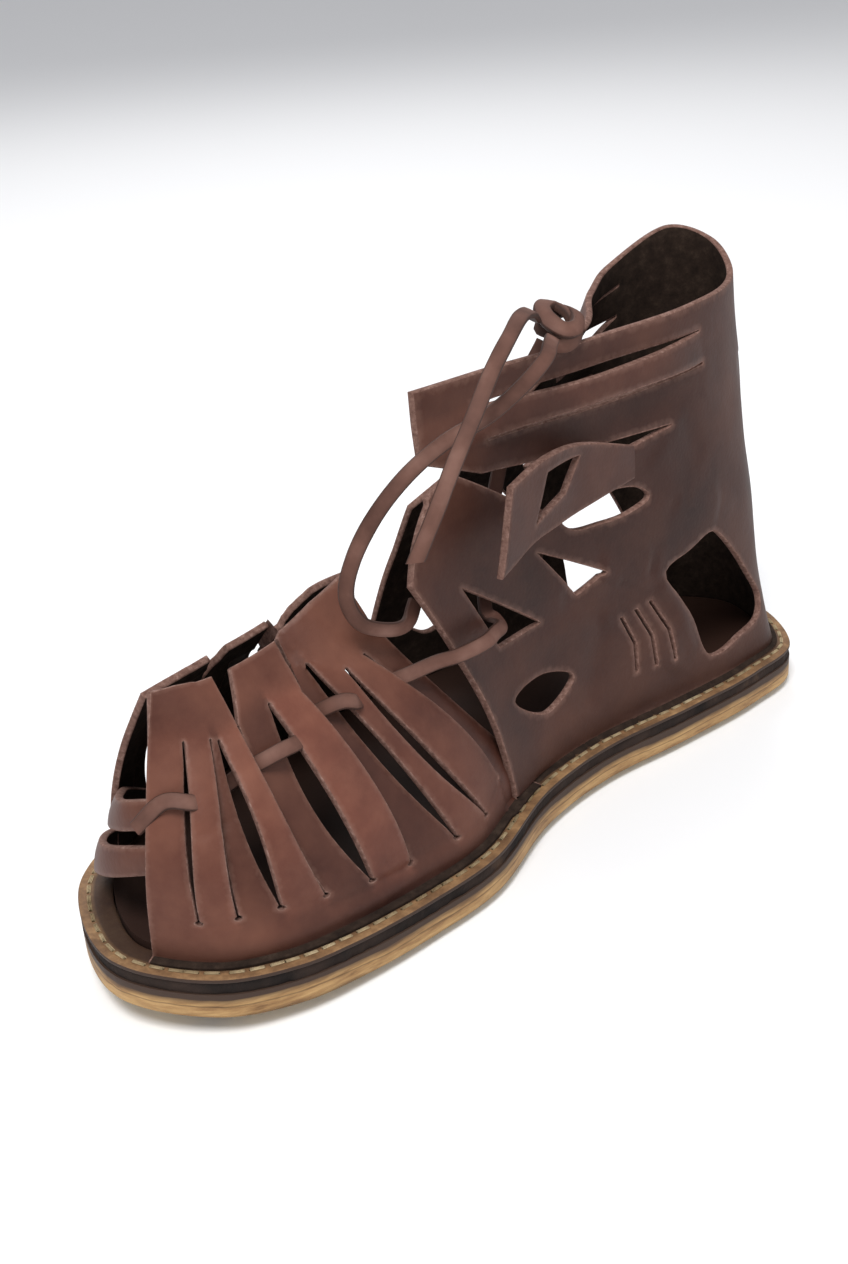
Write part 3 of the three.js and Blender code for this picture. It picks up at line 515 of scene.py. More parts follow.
rims = [inset_edge(WELT_WIDTH * k / WELT_ROWS) for k in range(WELT_ROWS + 1)]
shares = []
for vertex in welt.data.vertices:
    k = round((vertex.co.x + 1) / 2 * EDGE_STEPS) % EDGE_STEPS
    row = round((vertex.co.y + 1) / 2 * WELT_ROWS)
    spot = rims[row][k]
    lip = WELT_LIP * noise.noise(spot * 0.11)
    vertex.co = metres((spot.x, spot.y, WELT_Z + spring(spot.x) + lip * (row == 0)))
    shares.append(row / WELT_ROWS)
mark(welt.data, "inwards", shares)
bpy.ops.object.mode_set(mode="EDIT")
bpy.ops.mesh.select_all(action="SELECT")
bpy.ops.mesh.remove_doubles(threshold=0.00001)
bpy.ops.object.mode_set(mode="OBJECT")
thickened(welt, WELT_THICK, 0.4, 2)
welt.data.materials.append(welt_leather.material)
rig.ride(welt, "root")
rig.replaces(welt, "welt")
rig.slot(welt, "welt")

# Welt stitches
# Thick waxed cream thread, one lock stitch every 5 mm, sunk a little into the welt about
# 3 mm from its edge. One stitch is shaped once and copied round the line.
STITCH_LENGTH = 4.2
STITCH_STEP = 5.1
STITCH_INSET = 2.9
STITCH_RADIUS = 0.62
STITCH_ROUNDING = 0.35
STITCH_RISE, STITCH_SAG = 0.42, 0.13
thread = Finish("waxed_thread", 0.75, 0.25)
twist = thread.noise(500, 4)
thread.colour(thread.steps(
    thread.noise(45, 3),
    (0.32, (0.22, 0.145, 0.070)), (0.55, (0.52, 0.400, 0.235)), (0.7, (0.66, 0.540, 0.350))))
thread.bump((twist, 0.2, 0.6))
stitch_line = inset_edge(STITCH_INSET)
lengths = [(stitch_line[i] - stitch_line[i - 1]).length for i in range(len(stitch_line))]
stitch_count = int(sum(lengths) / STITCH_STEP)
bpy.ops.object.select_all(action="DESELECT")
bpy.ops.mesh.primitive_cylinder_add(
    vertices=8, radius=STITCH_RADIUS, depth=STITCH_LENGTH, rotation=(0, math.pi / 2, 0))
stitch = bpy.context.object
bpy.ops.object.transform_apply(location=False, rotation=True, scale=False)
bpy.ops.object.mode_set(mode="EDIT")
bpy.ops.mesh.select_all(action="SELECT")
bpy.ops.mesh.bevel(offset=STITCH_ROUNDING, segments=1)
bpy.ops.object.mode_set(mode="OBJECT")
pattern = [v.co.copy() for v in stitch.data.vertices]
pattern_faces = [list(p.vertices) for p in stitch.data.polygons]
bpy.data.objects.remove(stitch)
points, faces = [], []
around = sum(lengths)
walked, k = 0.0, 0
for i in range(stitch_count):
    while walked < i * around / stitch_count:
        k += 1
        walked += lengths[k % len(lengths)]
    here, ahead = stitch_line[k % len(lengths)], stitch_line[(k + 2) % len(lengths)]
    along = (ahead - here).normalized()
    across = Vector((-along.y, along.x, 0))
    slant = 0.10 * noise.noise(here * 0.31)
    base = len(points)
    for p in pattern:
        sag = STITCH_RISE - STITCH_SAG * p.x**2
        spot = here + along * p.x + across * (p.y + slant * p.x)
        height = WELT_Z + WELT_THICK + sag + p.z * 0.8 + spring(spot.x)
        points.append(metres((spot.x, spot.y, height)))
    faces += [[base + j for j in f] for f in pattern_faces]
stitches = bpy.data.meshes.new("welt_stitches")
stitches.from_pydata(points, [], faces)
stitches.shade_smooth()
stitches.materials.append(thread.material)
stitching = placed("welt_stitches", stitches)
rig.ride(stitching, "root")
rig.slot(stitching, "welt")

# Insole
# Dark brown leather under the foot, polished by wear at the heel and the ball, its colour
# darkened further to near black as painted shade inside the sandal. It is cut to
# fit inside the welt and glued down.
INSOLE_Z = 13.2
INSOLE_THICK = 3.2
footbed = Finish("footbed_leather", 0.7, 0.12)
pores = footbed.noise(900, 3)
# Partly its own dark brown, partly painted shade: near black for the shade inside the sandal.
footbed.colour(footbed.steps(
    footbed.noise(14, 5), (0.3, (0.016, 0.008, 0.006)), (0.7, (0.034, 0.016, 0.011))))
footbed.roughness(footbed.noise(20, 3), 0.55, 0.8)
footbed.bump((pores, 0.12, 0.5), (footbed.noise(60, 3), 0.3, 0.3))
insole = sole_layer("sandal_insole", 9.7, INSOLE_Z, INSOLE_THICK, 0.6)
insole.data.materials.append(footbed.material)
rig.ride(insole, "root")
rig.replaces(insole, "insole")
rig.slot(insole, "insole")

# Hobnails
# Cast nickel-plated nails with a low domed head, a raised rim line and a star of radiating
# ribs, 10 mm across. The head is turned once and each nail is a copy with its own mesh.
NAILS = [
    (0.951, [0.053]), (0.943, [-0.176]), (0.915, [-0.043, 0.253]), (0.870, [-0.240]),
    (0.864, [0.066]), (0.839, [-0.030, 0.386]), (0.795, [-0.260, 0.154]), (0.781, [0.008]),
    (0.745, [0.470]), (0.718, [-0.267, -0.010, 0.195]), (0.660, [0.255]), (0.648, [-0.035, 0.503]),
    (0.630, [-0.256, 0.138]), (0.546, [-0.165, 0.479]), (0.538, [0.096, 0.279]),
    (0.475, [0.025, 0.294]), (0.446, [-0.111, 0.431]), (0.434, [0.150]), (0.365, [0.041, 0.238]),
    (0.348, [-0.129, 0.395]), (0.307, [0.264]), (0.299, [-0.016]), (0.261, [0.106, 0.347]),
    (0.252, [-0.163]), (0.192, [-0.020, 0.154]), (0.165, [-0.198, 0.321]), (0.140, [-0.092, 0.199]),
    (0.094, [0.050, 0.250]), (0.078, [-0.173]), (0.047, [0.038]),
]
# The head's profile from its flat middle outwards: radius and height under the crown, in mm
NAIL_MIDDLE = 2.2
NAIL_PROFILE = [
    (2.9, 0.12), (3.6, 0.42), (4.05, 0.62), (4.25, 0.88), (4.65, 1.10), (4.95, 1.6), (5.0, 2.0),
    (5.0, 2.5)]
NAIL_RIBS = 8
NAIL_TURN = math.radians(37)
nickel = Finish("aged_nickel", 0.34, metallic=1.0)
dull = nickel.noise(300, 5)
tarnish = nickel.steps(
    nickel.attribute("hollow"), (0.10, (0.56, 0.54, 0.50)), (0.55, (0.17, 0.155, 0.14)))
nickel.colour(nickel.mix(nickel.steps(dull, (0.4, 0.0), (0.7, 0.55)), tarnish, (0.25, 0.21, 0.17)))
nickel.roughness(dull, 0.24, 0.5)
nickel.bump((nickel.noise(1500, 3), 0.04, 0.5))
bpy.ops.object.select_all(action="DESELECT")
bpy.ops.mesh.primitive_circle_add(vertices=32, radius=NAIL_MIDDLE * 0.001, fill_type="NGON")
nail_head = bpy.context.object
bpy.ops.object.mode_set(mode="EDIT")
bpy.ops.mesh.select_all(action="SELECT")
bpy.ops.mesh.inset(thickness=0.0007, depth=0)
bpy.ops.mesh.inset(thickness=0.0007, depth=0)
bpy.ops.object.mode_set(mode="OBJECT")
bm = bmesh.new()
bm.from_mesh(nail_head.data)
rim = [e for e in bm.edges if e.is_boundary]
for radius, drop in NAIL_PROFILE:
    grown = bmesh.ops.extrude_edge_only(bm, edges=rim)["geom"]
    rim = [g for g in grown if isinstance(g, bmesh.types.BMEdge) and g.is_boundary]
    for v in {v for e in rim for v in e.verts}:
        flat = Vector((v.co.x, v.co.y)).normalized() * radius * 0.001
        v.co = Vector((flat.x, flat.y, drop * 0.001))
bmesh.ops.contextual_create(bm, geom=rim)
bmesh.ops.recalc_face_normals(bm, faces=bm.faces)
bm.to_mesh(nail_head.data)
bm.free()
hollows = []
for v in nail_head.data.vertices:
    out = math.hypot(v.co.x, v.co.y) * 1000
    rib = 0.5 + 0.5 * math.cos(NAIL_RIBS * math.atan2(v.co.y, v.co.x))
    groove = math.exp(-((out - 4.2) / 0.3) ** 2)
    sunk = (1 - rib) * (1.2 < out < 3.9)
    v.co.z += (0.22 * sunk + 0.1 * groove) * 0.001
    hollows.append(min(1.0, 0.8 * sunk + groove))
mark(nail_head.data, "hollow", hollows)
nail_head.data.shade_smooth()
nail_head.data.materials.append(nickel.material)
number = 0
for along, outs in NAILS:
    for out in outs:
        number += 1
        x = -along * SOLE_LENGTH
        slope = (spring(x + 1) - spring(x - 1)) / 2
        mesh = nail_head.data.copy()
        spin = Matrix.Rotation(NAIL_TURN * number, 3, "Z")
        for v in mesh.vertices:
            p = spin @ v.co * 1000
            v.co = metres((x + p.x, out * BALL_WIDTH + p.y, spring(x) + p.z + slope * p.x))
        nail = placed(f"nail_{number:02d}", mesh)
        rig.ride(nail, "root")
        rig.replaces(nail, f"hobnail_{number:02d}")
        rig.slot(nail, "nail")
bpy.data.objects.remove(nail_head)

# Upper: pattern and last
# Thick brown leather cut from flat patterns and drawn over the last: an inner and an outer
# vamp of slit straps, one quarter round the heel, a bent-out strap end and two toe bands.
# Each pattern is cut flat in millimetres and laid on the walls' forms.
FEATHER_INSET = 6.0
FEATHER_Z = 14.8
LEATHER = 2.1
EDGE_ROUND = 0.45
RIM_WEAR = 1.5
TAB_HEIGHT, INSTEP_HEIGHT = 82.0, 93.0
COLLAR_HEIGHT, HEEL_PEAK_HEIGHT = 138.0, 150.0
PLAN = Vector((330.0, 112.0))


def on_plan(u, s):
    return Vector((u * PLAN.x, s * PLAN.y))


feather_loop = inset_edge(FEATHER_INSET)
FEATHER = {}
for side in (-1, 1):
    line = side_line(feather_loop, side)
    arc = lengths_along(line)
    FEATHER[side] = ([a / arc[-1] for a in arc], [p.x for p in line], [p.y for p in line])


def smooth(rows, at, column):
    """A value of rows of values, on a smooth line through them."""
    k = reached([row[0] for row in rows], at)
    span = rows[k][0] - rows[k - 1][0]
    t = min(1.2, max(-0.2, (at - rows[k - 1][0]) / span))

    def slope(i):
        before, after = rows[max(0, i - 1)], rows[min(len(rows) - 1, i + 1)]
        return (after[column] - before[column]) / (after[0] - before[0]) * span

    return hermite(rows[k - 1][column], rows[k][column], slope(k - 1), slope(k), t)


def wall_form(rows, low, high):
    """The last's wall from the feather line (s = 0) to the top line (s = 1)."""

    def form(u, s):
        at = u if rows[0][0] < 0 else abs(u)
        share, xs, ys = FEATHER[-1 if u < 0 else 1]
        x, y = between(share, xs, abs(u)), between(share, ys, abs(u))
        lean = s ** smooth(rows, at, 4) if s > 0 else 0.0
        foot = FEATHER_Z + spring(x)
        top = TREAD_Z + low + smooth(rows, at, 3) * (high - low)
        return Vector((
            x + (-smooth(rows, at, 1) * SOLE_LENGTH - x) * lean,
            y + (smooth(rows, at, 2) * BALL_WIDTH - y) * lean, foot + s * (top - foot)))

    return form


def outward(form, u, s):
    across = form(u + 0.004, s) - form(u - 0.004, s)
    up = form(u, min(1.0, s + 0.01)) - form(u, max(0.02, s - 0.01))
    return across.cross(up).normalized()


def inside(points, loop):
    hit = np.zeros(len(points), bool)
    x, y = points[:, 0], points[:, 1]
    for (x1, y1), (x2, y2) in zip(loop, np.roll(loop, -1, axis=0)):
        if y1 != y2:
            hit ^= ((y1 > y) != (y2 > y)) & (x < (x2 - x1) * (y - y1) / (y2 - y1) + x1)
    return hit


def in_leather(points, loops):
    """Inside the first loop and outside the openings, which are the others."""
    hit = inside(points, loops[0])
    for loop in loops[1:]:
        hit &= ~inside(points, loop)
    return hit


def filled_in(loop, step):
    out = []
    for a, b in zip(loop, loop[1:] + loop[:1]):
        count = max(1, math.ceil((b - a).length / step))
        out += [a.lerp(b, i / count) for i in range(count)]
    return out


def laid_piece(name, points, faces, kinds, angle, values):
    """A piece from points in metres, its faces, their material numbers and values at points."""
    mesh = bpy.data.meshes.new(name)
    mesh.from_pydata(points, [], faces)
    mesh.polygons.foreach_set("material_index", kinds)
    for title, row in values.items():
        mark(mesh, title, row)
    bm = bmesh.new()
    bm.from_mesh(mesh)
    bmesh.ops.recalc_face_normals(bm, faces=bm.faces)
    bm.to_mesh(mesh)
    bm.free()
    piece = placed(name, mesh)
    bpy.ops.object.select_all(action="DESELECT")
    piece.select_set(True)
    bpy.context.view_layer.objects.active = piece
    bpy.ops.object.shade_smooth_by_angle(angle=math.radians(angle))
    return piece


def leather_sheet(name, outline, openings, lay, tone, spacing=1.9):
    """Cuts a pattern, lays it with lay(x, y, depth under the grain) and rounds its edges."""
    loops = [filled_in(outline, 1.3)] + [filled_in(o, 1.1) for o in openings]
    coords = [p for loop in loops for p in loop]
    edges, base = [], 0
    for loop in loops:
        edges += [(base + i, base + (i + 1) % len(loop)) for i in range(len(loop))]
        base += len(loop)
    rims = kdtree.KDTree(len(coords))
    for i, p in enumerate(coords):
        rims.insert((p.x, p.y, 0), i)
    rims.balance()
    flat = [np.array([tuple(p) for p in loop]) for loop in loops]
    low, high = flat[0].min(axis=0), flat[0].max(axis=0)
    grid = []
    for j in range(int((high[1] - low[1]) / spacing / 0.87) + 1):
        for i in range(int((high[0] - low[0]) / spacing) + 2):
            grid.append((low[0] + (i + 0.5 * (j % 2)) * spacing, low[1] + j * spacing * 0.87))
    grid = np.array(grid)
    coords += [Vector(p) for p in grid[in_leather(grid, flat)] if rims.find((*p, 0))[2] > 0.62 * spacing]
    found = geometry.delaunay_2d_cdt(coords, edges, [], 0, 1e-4, False)
    spots, cells = found[0], found[2]
    middles = np.array([tuple((spots[a] + spots[b] + spots[c]) / 3) for a, b, c in cells])
    cells = [c if (spots[c[1]] - spots[c[0]]).cross(spots[c[2]] - spots[c[0]]) > 0 else c[::-1]
             for c, ok in zip(cells, in_leather(middles, flat)) if ok]
    used = sorted({i for c in cells for i in c})
    renamed = {old: new for new, old in enumerate(used)}
    spots = [spots[i].copy() for i in used]
    cells = [[renamed[i] for i in c] for c in cells]
    directed = {(c[i], c[(i + 1) % 3]) for c in cells for i in range(3)}
    rim_edges = [(a, b) for a, b in directed if (b, a) not in directed]
    pull = {}
    for a, b in rim_edges:
        run = (spots[b] - spots[a]).normalized()
        for k in (a, b):
            pull[k] = pull.get(k, Vector((0, 0))) + Vector((-run.y, run.x))
    rim_ids = sorted(pull)
    slot_of = {k: i for i, k in enumerate(rim_ids)}
    inwards = [pull[k].normalized() for k in rim_ids]
    corner = [spots[k].copy() for k in rim_ids]
    for k, way in zip(rim_ids, inwards):
        spots[k] += way * EDGE_ROUND
    points = [lay(p.x, p.y, 0.0) for p in spots]
    points += [lay(p.x, p.y, LEATHER) for p in spots]
    r = EDGE_ROUND
    profile = ((0.3 * r, 0.3 * r), (0, r), (0, LEATHER - r), (0.3 * r, LEATHER - 0.3 * r))
    for inset, depth in profile:
        for p, way in zip(corner, inwards):
            points.append(lay(p.x + way.x * inset, p.y + way.y * inset, depth))
    n, m = len(spots), len(rim_ids)
    faces = [tuple(c) for c in cells] + [tuple(i + n for i in reversed(c)) for c in cells]
    kinds = [0] * len(cells) + [2] * len(cells)
    for a, b in rim_edges:
        rows_a = [a] + [2 * n + k * m + slot_of[a] for k in range(4)] + [a + n]
        rows_b = [b] + [2 * n + k * m + slot_of[b] for k in range(4)] + [b + n]
        for k in range(5):
            faces.append((rows_b[k], rows_a[k], rows_a[k + 1], rows_b[k + 1]))
            kinds.append(1)
    plan = spots + spots + corner * 4
    piece = laid_piece(name, [metres(p) for p in points], faces, kinds, 48, {
        "rim": [math.exp(-rims.find((p.x, p.y, 0))[2] / RIM_WEAR) for p in plan],
        # The tone values are painted light and shade, which the grain side multiplies into its colour.
        "tone": [tone(p.x, p.y) for p in plan],
    })
    for finish in (grain_side, cut_edge, flesh_side):
        piece.data.materials.append(finish.material)
    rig.ride(piece, "root")
    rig.replaces(piece, "upper")
    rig.slot(piece, "upper")
    return piece


def ramp(value, start, end):
    t = min(1.0, max(0.0, (value - start) / (end - start)))
    return t * t * (3 - 2 * t)


def crease(x, y, lines):
    """Soft troughs (negative) and ridges along lines of a pattern, in mm."""
    total = 0.0
    spot = Vector((x, y))
    for width, depth, *line in lines:
        for (x1, y1), (x2, y2) in zip(line, line[1:]):
            a, b = on_plan(x1, y1), on_plan(x2, y2)
            share = (spot - a).dot(b - a) / (b - a).length_squared
            if 0 <= share <= 1:
                off = (spot - a.lerp(b, share)).length
                fade = math.sin(math.pi * (0.15 + 0.7 * share)) if len(line) == 2 else 1.0
                total += depth * math.exp(-((off / width) ** 2)) * fade
                break
    return total


# Upper: leather
# Oiled reddish brown leather: matt with a satin sheen where it bends, paler and fuzzy along
# its cut edges, grey-brown scuffs, near-black olive on its flesh side, darkened there by painted
# shade. Each piece's tone value paints light and shade onto the grain side.
grain_side = Finish("upper_grain", 0.5, 0.22)
cloudy = grain_side.noise(17, 5, rough=0.6)
mottle = grain_side.noise(75, 5, rough=0.65)
body = grain_side.steps(
    cloudy,
    (0.30, (0.052, 0.0160, 0.0105)), (0.50, (0.105, 0.0350, 0.0220)), (0.70, (0.185, 0.071, 0.044)))
body = grain_side.mix(
    grain_side.steps(mottle, (0.42, 0.0), (0.72, 0.35)), body, (0.180, 0.074, 0.048))
# Painted light and shade: the tone value of each piece brightens or darkens the grain side's colour.
painted_light_and_shade = grain_side.steps(grain_side.attribute("tone"), (0.0, 0.22), (0.5, 1.0), (1.0, 1.9))
body = grain_side.mix(1.0, body, painted_light_and_shade, "MULTIPLY")
patches = grain_side.steps(grain_side.noise(420, 4), (0.30, 0.55), (0.6, 1.0))
rubbed = grain_side.product(grain_side.attribute("rim"), patches)
body = grain_side.mix(
    grain_side.steps(rubbed, (0.25, 0.0), (0.95, 0.50)), body, (0.24, 0.132, 0.100))
grain_side.colour(body)
grain_side.roughness(grain_side.noise(38, 4), 0.36, 0.66)
pores = grain_side.add("ShaderNodeTexVoronoi", {"Vector": grain_side.place, "Scale": 900.0})
grain_side.bump(
    (pores.outputs["Distance"], 0.10, 0.35), (mottle, 0.35, 0.5),
    (grain_side.noise(420, 4), 0.08, 0.5))
cut_edge = Finish("upper_cut_edge", 0.85, 0.2)
fuzz = cut_edge.noise(700, 5, rough=0.7)
cut_edge.colour(cut_edge.steps(
    fuzz, (0.30, (0.085, 0.040, 0.030)), (0.55, (0.19, 0.105, 0.082)), (0.75, (0.31, 0.20, 0.165))))
cut_edge.bump((fuzz, 0.3, 0.8))
# Partly its own dark olive, partly painted shade: darkened to near black for the shade inside the sandal seen through
# the slits.
flesh_side = Finish("upper_flesh", 0.92, 0.15)
nap = flesh_side.noise(260, 6, rough=0.7)
flesh_side.colour(flesh_side.steps(
    nap,
    (0.30, (0.012, 0.007, 0.005)), (0.55, (0.028, 0.017, 0.012)), (0.75, (0.052, 0.034, 0.024))))
flesh_side.bump((nap, 0.4, 0.8))

# Upper: vamps
# Ten straps a side that fan out of three tabs; every second one is bowed up and overlaps its
# neighbours, the ones between lie lower. Each slit ends in a small punched hole.
VAMP_TOP = {
    "inner": [
        (0.553, 0.683, 0.000, 1.00, 1.7), (0.640, 0.726, 0.000, 0.45, 1.7),
        (0.730, 0.772, 0.010, 0.00, 1.7), (0.820, 0.840, 0.010, -0.18, 1.7),
        (0.976, 0.911, 0.010, 0.00, 1.7)],
    "outer": [
        (0.488, 0.626, 0.125, 0.18, 1.7), (0.570, 0.683, 0.125, 0.18, 1.7),
        (0.640, 0.740, 0.135, -0.18, 1.7), (0.730, 0.811, 0.144, -0.45, 1.7),
        (0.855, 0.890, 0.144, -0.64, 1.7)],
}
VAMP_REACH = {"inner": (0.557, 0.973), "outer": (0.490, 0.855)}
# Places along the vamp of a slit's foot, middle and head, its two heights and its gap in mm
BORDERS = [
    (1, 1, 1, 0.17, 0.82, 0), (0.890, 0.888, 0.862, 0.17, 0.82, 1.4),
    (0.809, 0.806, 0.764, 0.18, 0.81, 0.5), (0.716, 0.737, 0.737, 0.18, 0.80, 2.6),
    (0.611, 0.652, 0.655, 0.16, 0.82, 0.5), (0.496, 0.546, 0.539, 0.13, 0.84, 4.2),
    (0.391, 0.412, 0.440, 0.11, 0.82, 0.6), (0.253, 0.334, 0.368, 0.10, 0.88, 2.6),
    (0.140, 0.246, 0.274, 0.09, 0.80, 3.0), (0.045, 0.110, 0.190, 0.15, 0.80, 0.6),
    (-0.1, 0.035, 0.080, 0.08, 0.85, 0),
]
OPEN_TOPS = {4: (0.654, 0.560), 6: (0.406, 0.398), 10: (0.024, 0.024)}
TOP_EDGE = [1.0, 1.0, 0.995, 0.99, 0.987, 0.985, 0.985, 1.0, 1.0, 1.0, 0.985]
STRAP_BOWS = [0.3, 2.1, -1.6, 2.5, -1.7, 2.8, -1.7, 1.7, 2.0, -1.3]
TAB_DROPS = {6: -2.6, 7: -0.8}
STRAP_CROWN = 0.55
PUNCH_RADIUS = 0.95
SLIT_LEAST = 0.26
RIM_BELOW = -0.008
# Painted light and shade: the tabs' level and, per strap, a lighter value on the raised straps and a darker one on the
# sunk straps.
TAB_TONE = 0.38
STRAP_LIGHT_AND_SHADE = [0.44, 0.50, 0.28, 0.58, 0.26, 0.66, 0.24, 0.44, 0.42, 0.24]
VAMP_CREASES = [
    (4.0, 0.5, (0.62, 0.05), (0.90, 0.06)), (3.0, -0.5, (0.66, 0.115), (0.84, 0.10)),
    (2.5, -0.4, (0.70, 0.93), (0.80, 0.90)), (2.2, -0.35, (0.86, 0.55), (0.93, 0.50)),
]


def border_place(k, s):
    """Where the border between two straps lies at a height, and how far up it is."""
    foot, mid, head, low, high, _ = BORDERS[k]
    v = (s - low) / (high - low)
    w = min(1.0, max(0.0, v))
    t = (1 - w) ** 2 * foot + w * w * head + 2 * w * (1 - w) * (2 * mid - (foot + head) / 2)
    if k in OPEN_TOPS and v > 1:
        t += (sum(OPEN_TOPS[k]) / 2 - t) * (s - high) / (TOP_EDGE[k] - high)
    return t, v


def vamp(side):
    form = wall_form(VAMP_TOP[side], TAB_HEIGHT, INSTEP_HEIGHT)
    rear, front = VAMP_REACH[side]
    sign = -1 if side == "inner" else 1
    reach = front - rear

    def strap_at(t, s):
        k = 0
        while k < 9 and t < border_place(k + 1, s)[0]:
            k += 1
        (fore, v1), (aft, v2) = border_place(k, s), border_place(k + 1, s)
        m = min(1.0, max(0.0, (fore - t) / max(1e-6, fore - aft)))
        return k, m, v1 + (v2 - v1) * m

    def lay(x, y, depth):
        u, s = x / PLAN.x, y / PLAN.y
        t = (abs(u) - rear) / reach
        k, m, v = strap_at(t, s)
        w = min(1.0, max(0.0, v))
        arch = math.sin(math.pi * w)
        drop = TAB_DROPS.get(k, 0.0)
        if v > 1:
            near, share = (k, 1 - 2 * m) if m < 0.5 else (k + 1, 2 * m - 1)
            beside = k - 1 if m < 0.5 else k + 1
            if near not in OPEN_TOPS and share > 0:
                drop += (TAB_DROPS.get(beside, 0.0) - drop) * 0.5 * ramp(share, 0, 1)
        proud = STRAP_BOWS[k] * arch**0.7 + STRAP_CROWN * arch * 4 * m * (1 - m) + drop * w * w
        if k == 9:
            proud -= max(0.0, 1 - s / 0.3) * 0.4 * LEATHER
        at = form(u, s)
        proud += crease(abs(x), y, VAMP_CREASES) + 0.5 * noise.noise(at * 0.045)
        return at + outward(form, u, s) * (proud - depth)

    def tone(x, y):
        u, s = x / PLAN.x, y / PLAN.y
        k, m, v = strap_at((abs(u) - rear) / reach, s)
        # Between the slits, the tabs' level gives way to each strap's painted light and shade.
        inside_slits = ramp(v, -0.12, 0.05) * (1 - ramp(v, 0.98, 1.1))
        # Painted shade: the vamp darkens towards its foot at the welt.
        painted_base_shade = 0.30 + 0.70 * ramp(s, -0.01, 0.12)
        return (TAB_TONE + (STRAP_LIGHT_AND_SHADE[k] - TAB_TONE) * inside_slits) * painted_base_shade

    def plan(t, s):
        return on_plan(sign * (rear + t * reach), s)

    outline = [plan(1, RIM_BELOW), plan(1, 1)]
    outline += [plan(border_place(k, TOP_EDGE[k])[0], TOP_EDGE[k]) for k in range(1, 11)]
    top, low = TOP_EDGE[10], BORDERS[10][3]
    for i in range(1, 15):
        height = top + (low - top) * i / 14
        outline.append(plan(border_place(10, height)[0], height))
    outline.append(plan(BORDERS[10][0], RIM_BELOW))
    slits = []
    for k in range(1, 10):
        _, _, _, low, high, gap = BORDERS[k]
        ahead, behind = [], []
        tall = (high - low) * PLAN.y
        near_end = [0.0, 0.25, 0.7, 1.2, 1.6, 1.9]
        climb = near_end + [tall * i / 26 for i in range(1, 26)]
        climb = sorted(climb + [tall - c for c in near_end])
        for up in climb:
            v = up / tall
            s = low + (high - low) * v
            t, _ = border_place(k, s)
            scale = (form(sign * (rear + (t + 0.01) * reach), s)
                     - form(sign * (rear + (t - 0.01) * reach), s)).length / 0.02
            punched = PUNCH_RADIUS * math.sqrt(max(0.0, 1 - (up / PUNCH_RADIUS - 1) ** 2))
            least = SLIT_LEAST if 0 < v < 1 else 0.05
            half = max(least, gap / 2 * math.sin(math.pi * v), punched) / scale
            ahead.append(plan(t + half, s))
            behind.append(plan(t - half, s))
        if k in OPEN_TOPS:
            above = TOP_EDGE[k] + 0.05
            ahead.append(plan(OPEN_TOPS[k][0] + 0.004, above))
            behind.append(plan(OPEN_TOPS[k][1] - 0.004, above))
        slits.append(ahead + behind[::-1])
    return leather_sheet(f"{side}_vamp", outline, slits, lay, tone)


vamp("inner")
vamp("outer")

# Upper: quarter
# One piece from the inner instep round the heel to the outer instep. It laps over the vamps
# at its foot, and its collar is slit into a band, a bowed strap and a lower strip.
QUARTER_TOP = [
    (-0.640, 0.770, -0.070, 0.00, 1.6), (-0.553, 0.705, -0.087, 0.00, 1.6),
    (-0.434, 0.534, -0.135, 0.00, 1.5), (-0.317, 0.374, -0.192, 0.00, 1.3),
    (-0.200, 0.220, -0.205, 0.00, 1.0), (-0.097, 0.105, -0.115, 0.00, 0.75),
    (0.000, 0.066, 0.030, 0.66, 0.75), (0.094, 0.092, 0.165, 1.00, 0.8),
    (0.195, 0.164, 0.235, 0.25, 1.0), (0.307, 0.240, 0.150, 0.00, 1.3),
    (0.425, 0.345, -0.040, -0.15, 1.5), (0.570, 0.540, -0.070, -0.30, 1.6),
    (0.650, 0.600, -0.060, -0.30, 1.6),
]
OUTER_REACH = 0.88
FRONT_EDGE = [
    (-0.006, 0.553), (0.08, 0.556), (0.20, 0.562), (0.34, 0.569), (0.48, 0.577), (0.62, 0.589),
    (0.76, 0.522), (0.85, 0.5095), (0.93, 0.4985), (1, 0.488)]
NOTCH = [
    (0.56, 0.742), (0.545, 0.742), (0.491, 0.810), (0.449, 0.708), (0.396, 0.600), (0.362, 0.618),
    (0.332, 0.650), (0.326, 0.712), (0.300, 0.722), (0.255, 0.735), (0.300, 0.742),
    (0.350, 0.748), (0.409, 0.758), (0.464, 0.780), (0.510, 0.846), (0.56, 0.852)]
LACE_HOLES = [
    [(0.530, 0.554), (0.458, 0.382), (0.517, 0.383)],
    [(0.437, 0.548), (0.366, 0.435), (0.404, 0.403)]]
EYE_OPENING = [
    (0.401, 0.600), (0.385, 0.622), (0.339, 0.629), (0.308, 0.612), (0.297, 0.582),
    (0.327, 0.561), (0.358, 0.561), (0.393, 0.572)]
HEEL_OPENING = [
    (0.212, 0.415), (0.250, 0.395), (0.291, 0.365), (0.276, 0.290), (0.258, 0.208), (0.236, 0.081),
    (0.180, 0.090), (0.140, 0.110), (0.128, 0.150), (0.150, 0.240), (0.190, 0.370)]
WAIST_OPENING = [(0.520, 0.235), (0.470, 0.250), (0.430, 0.200), (0.475, 0.150)]
COUNTER_SLITS = [
    (0.355, 0.293, 0.345, 0.130), (0.335, 0.300, 0.318, 0.125), (0.315, 0.307, 0.292, 0.120)]
COLLAR_START, COLLAR_END = 0.20, 0.448
COLLAR_CUTS = (0.8505, 0.9305)
STRAP_BOW = 4.0
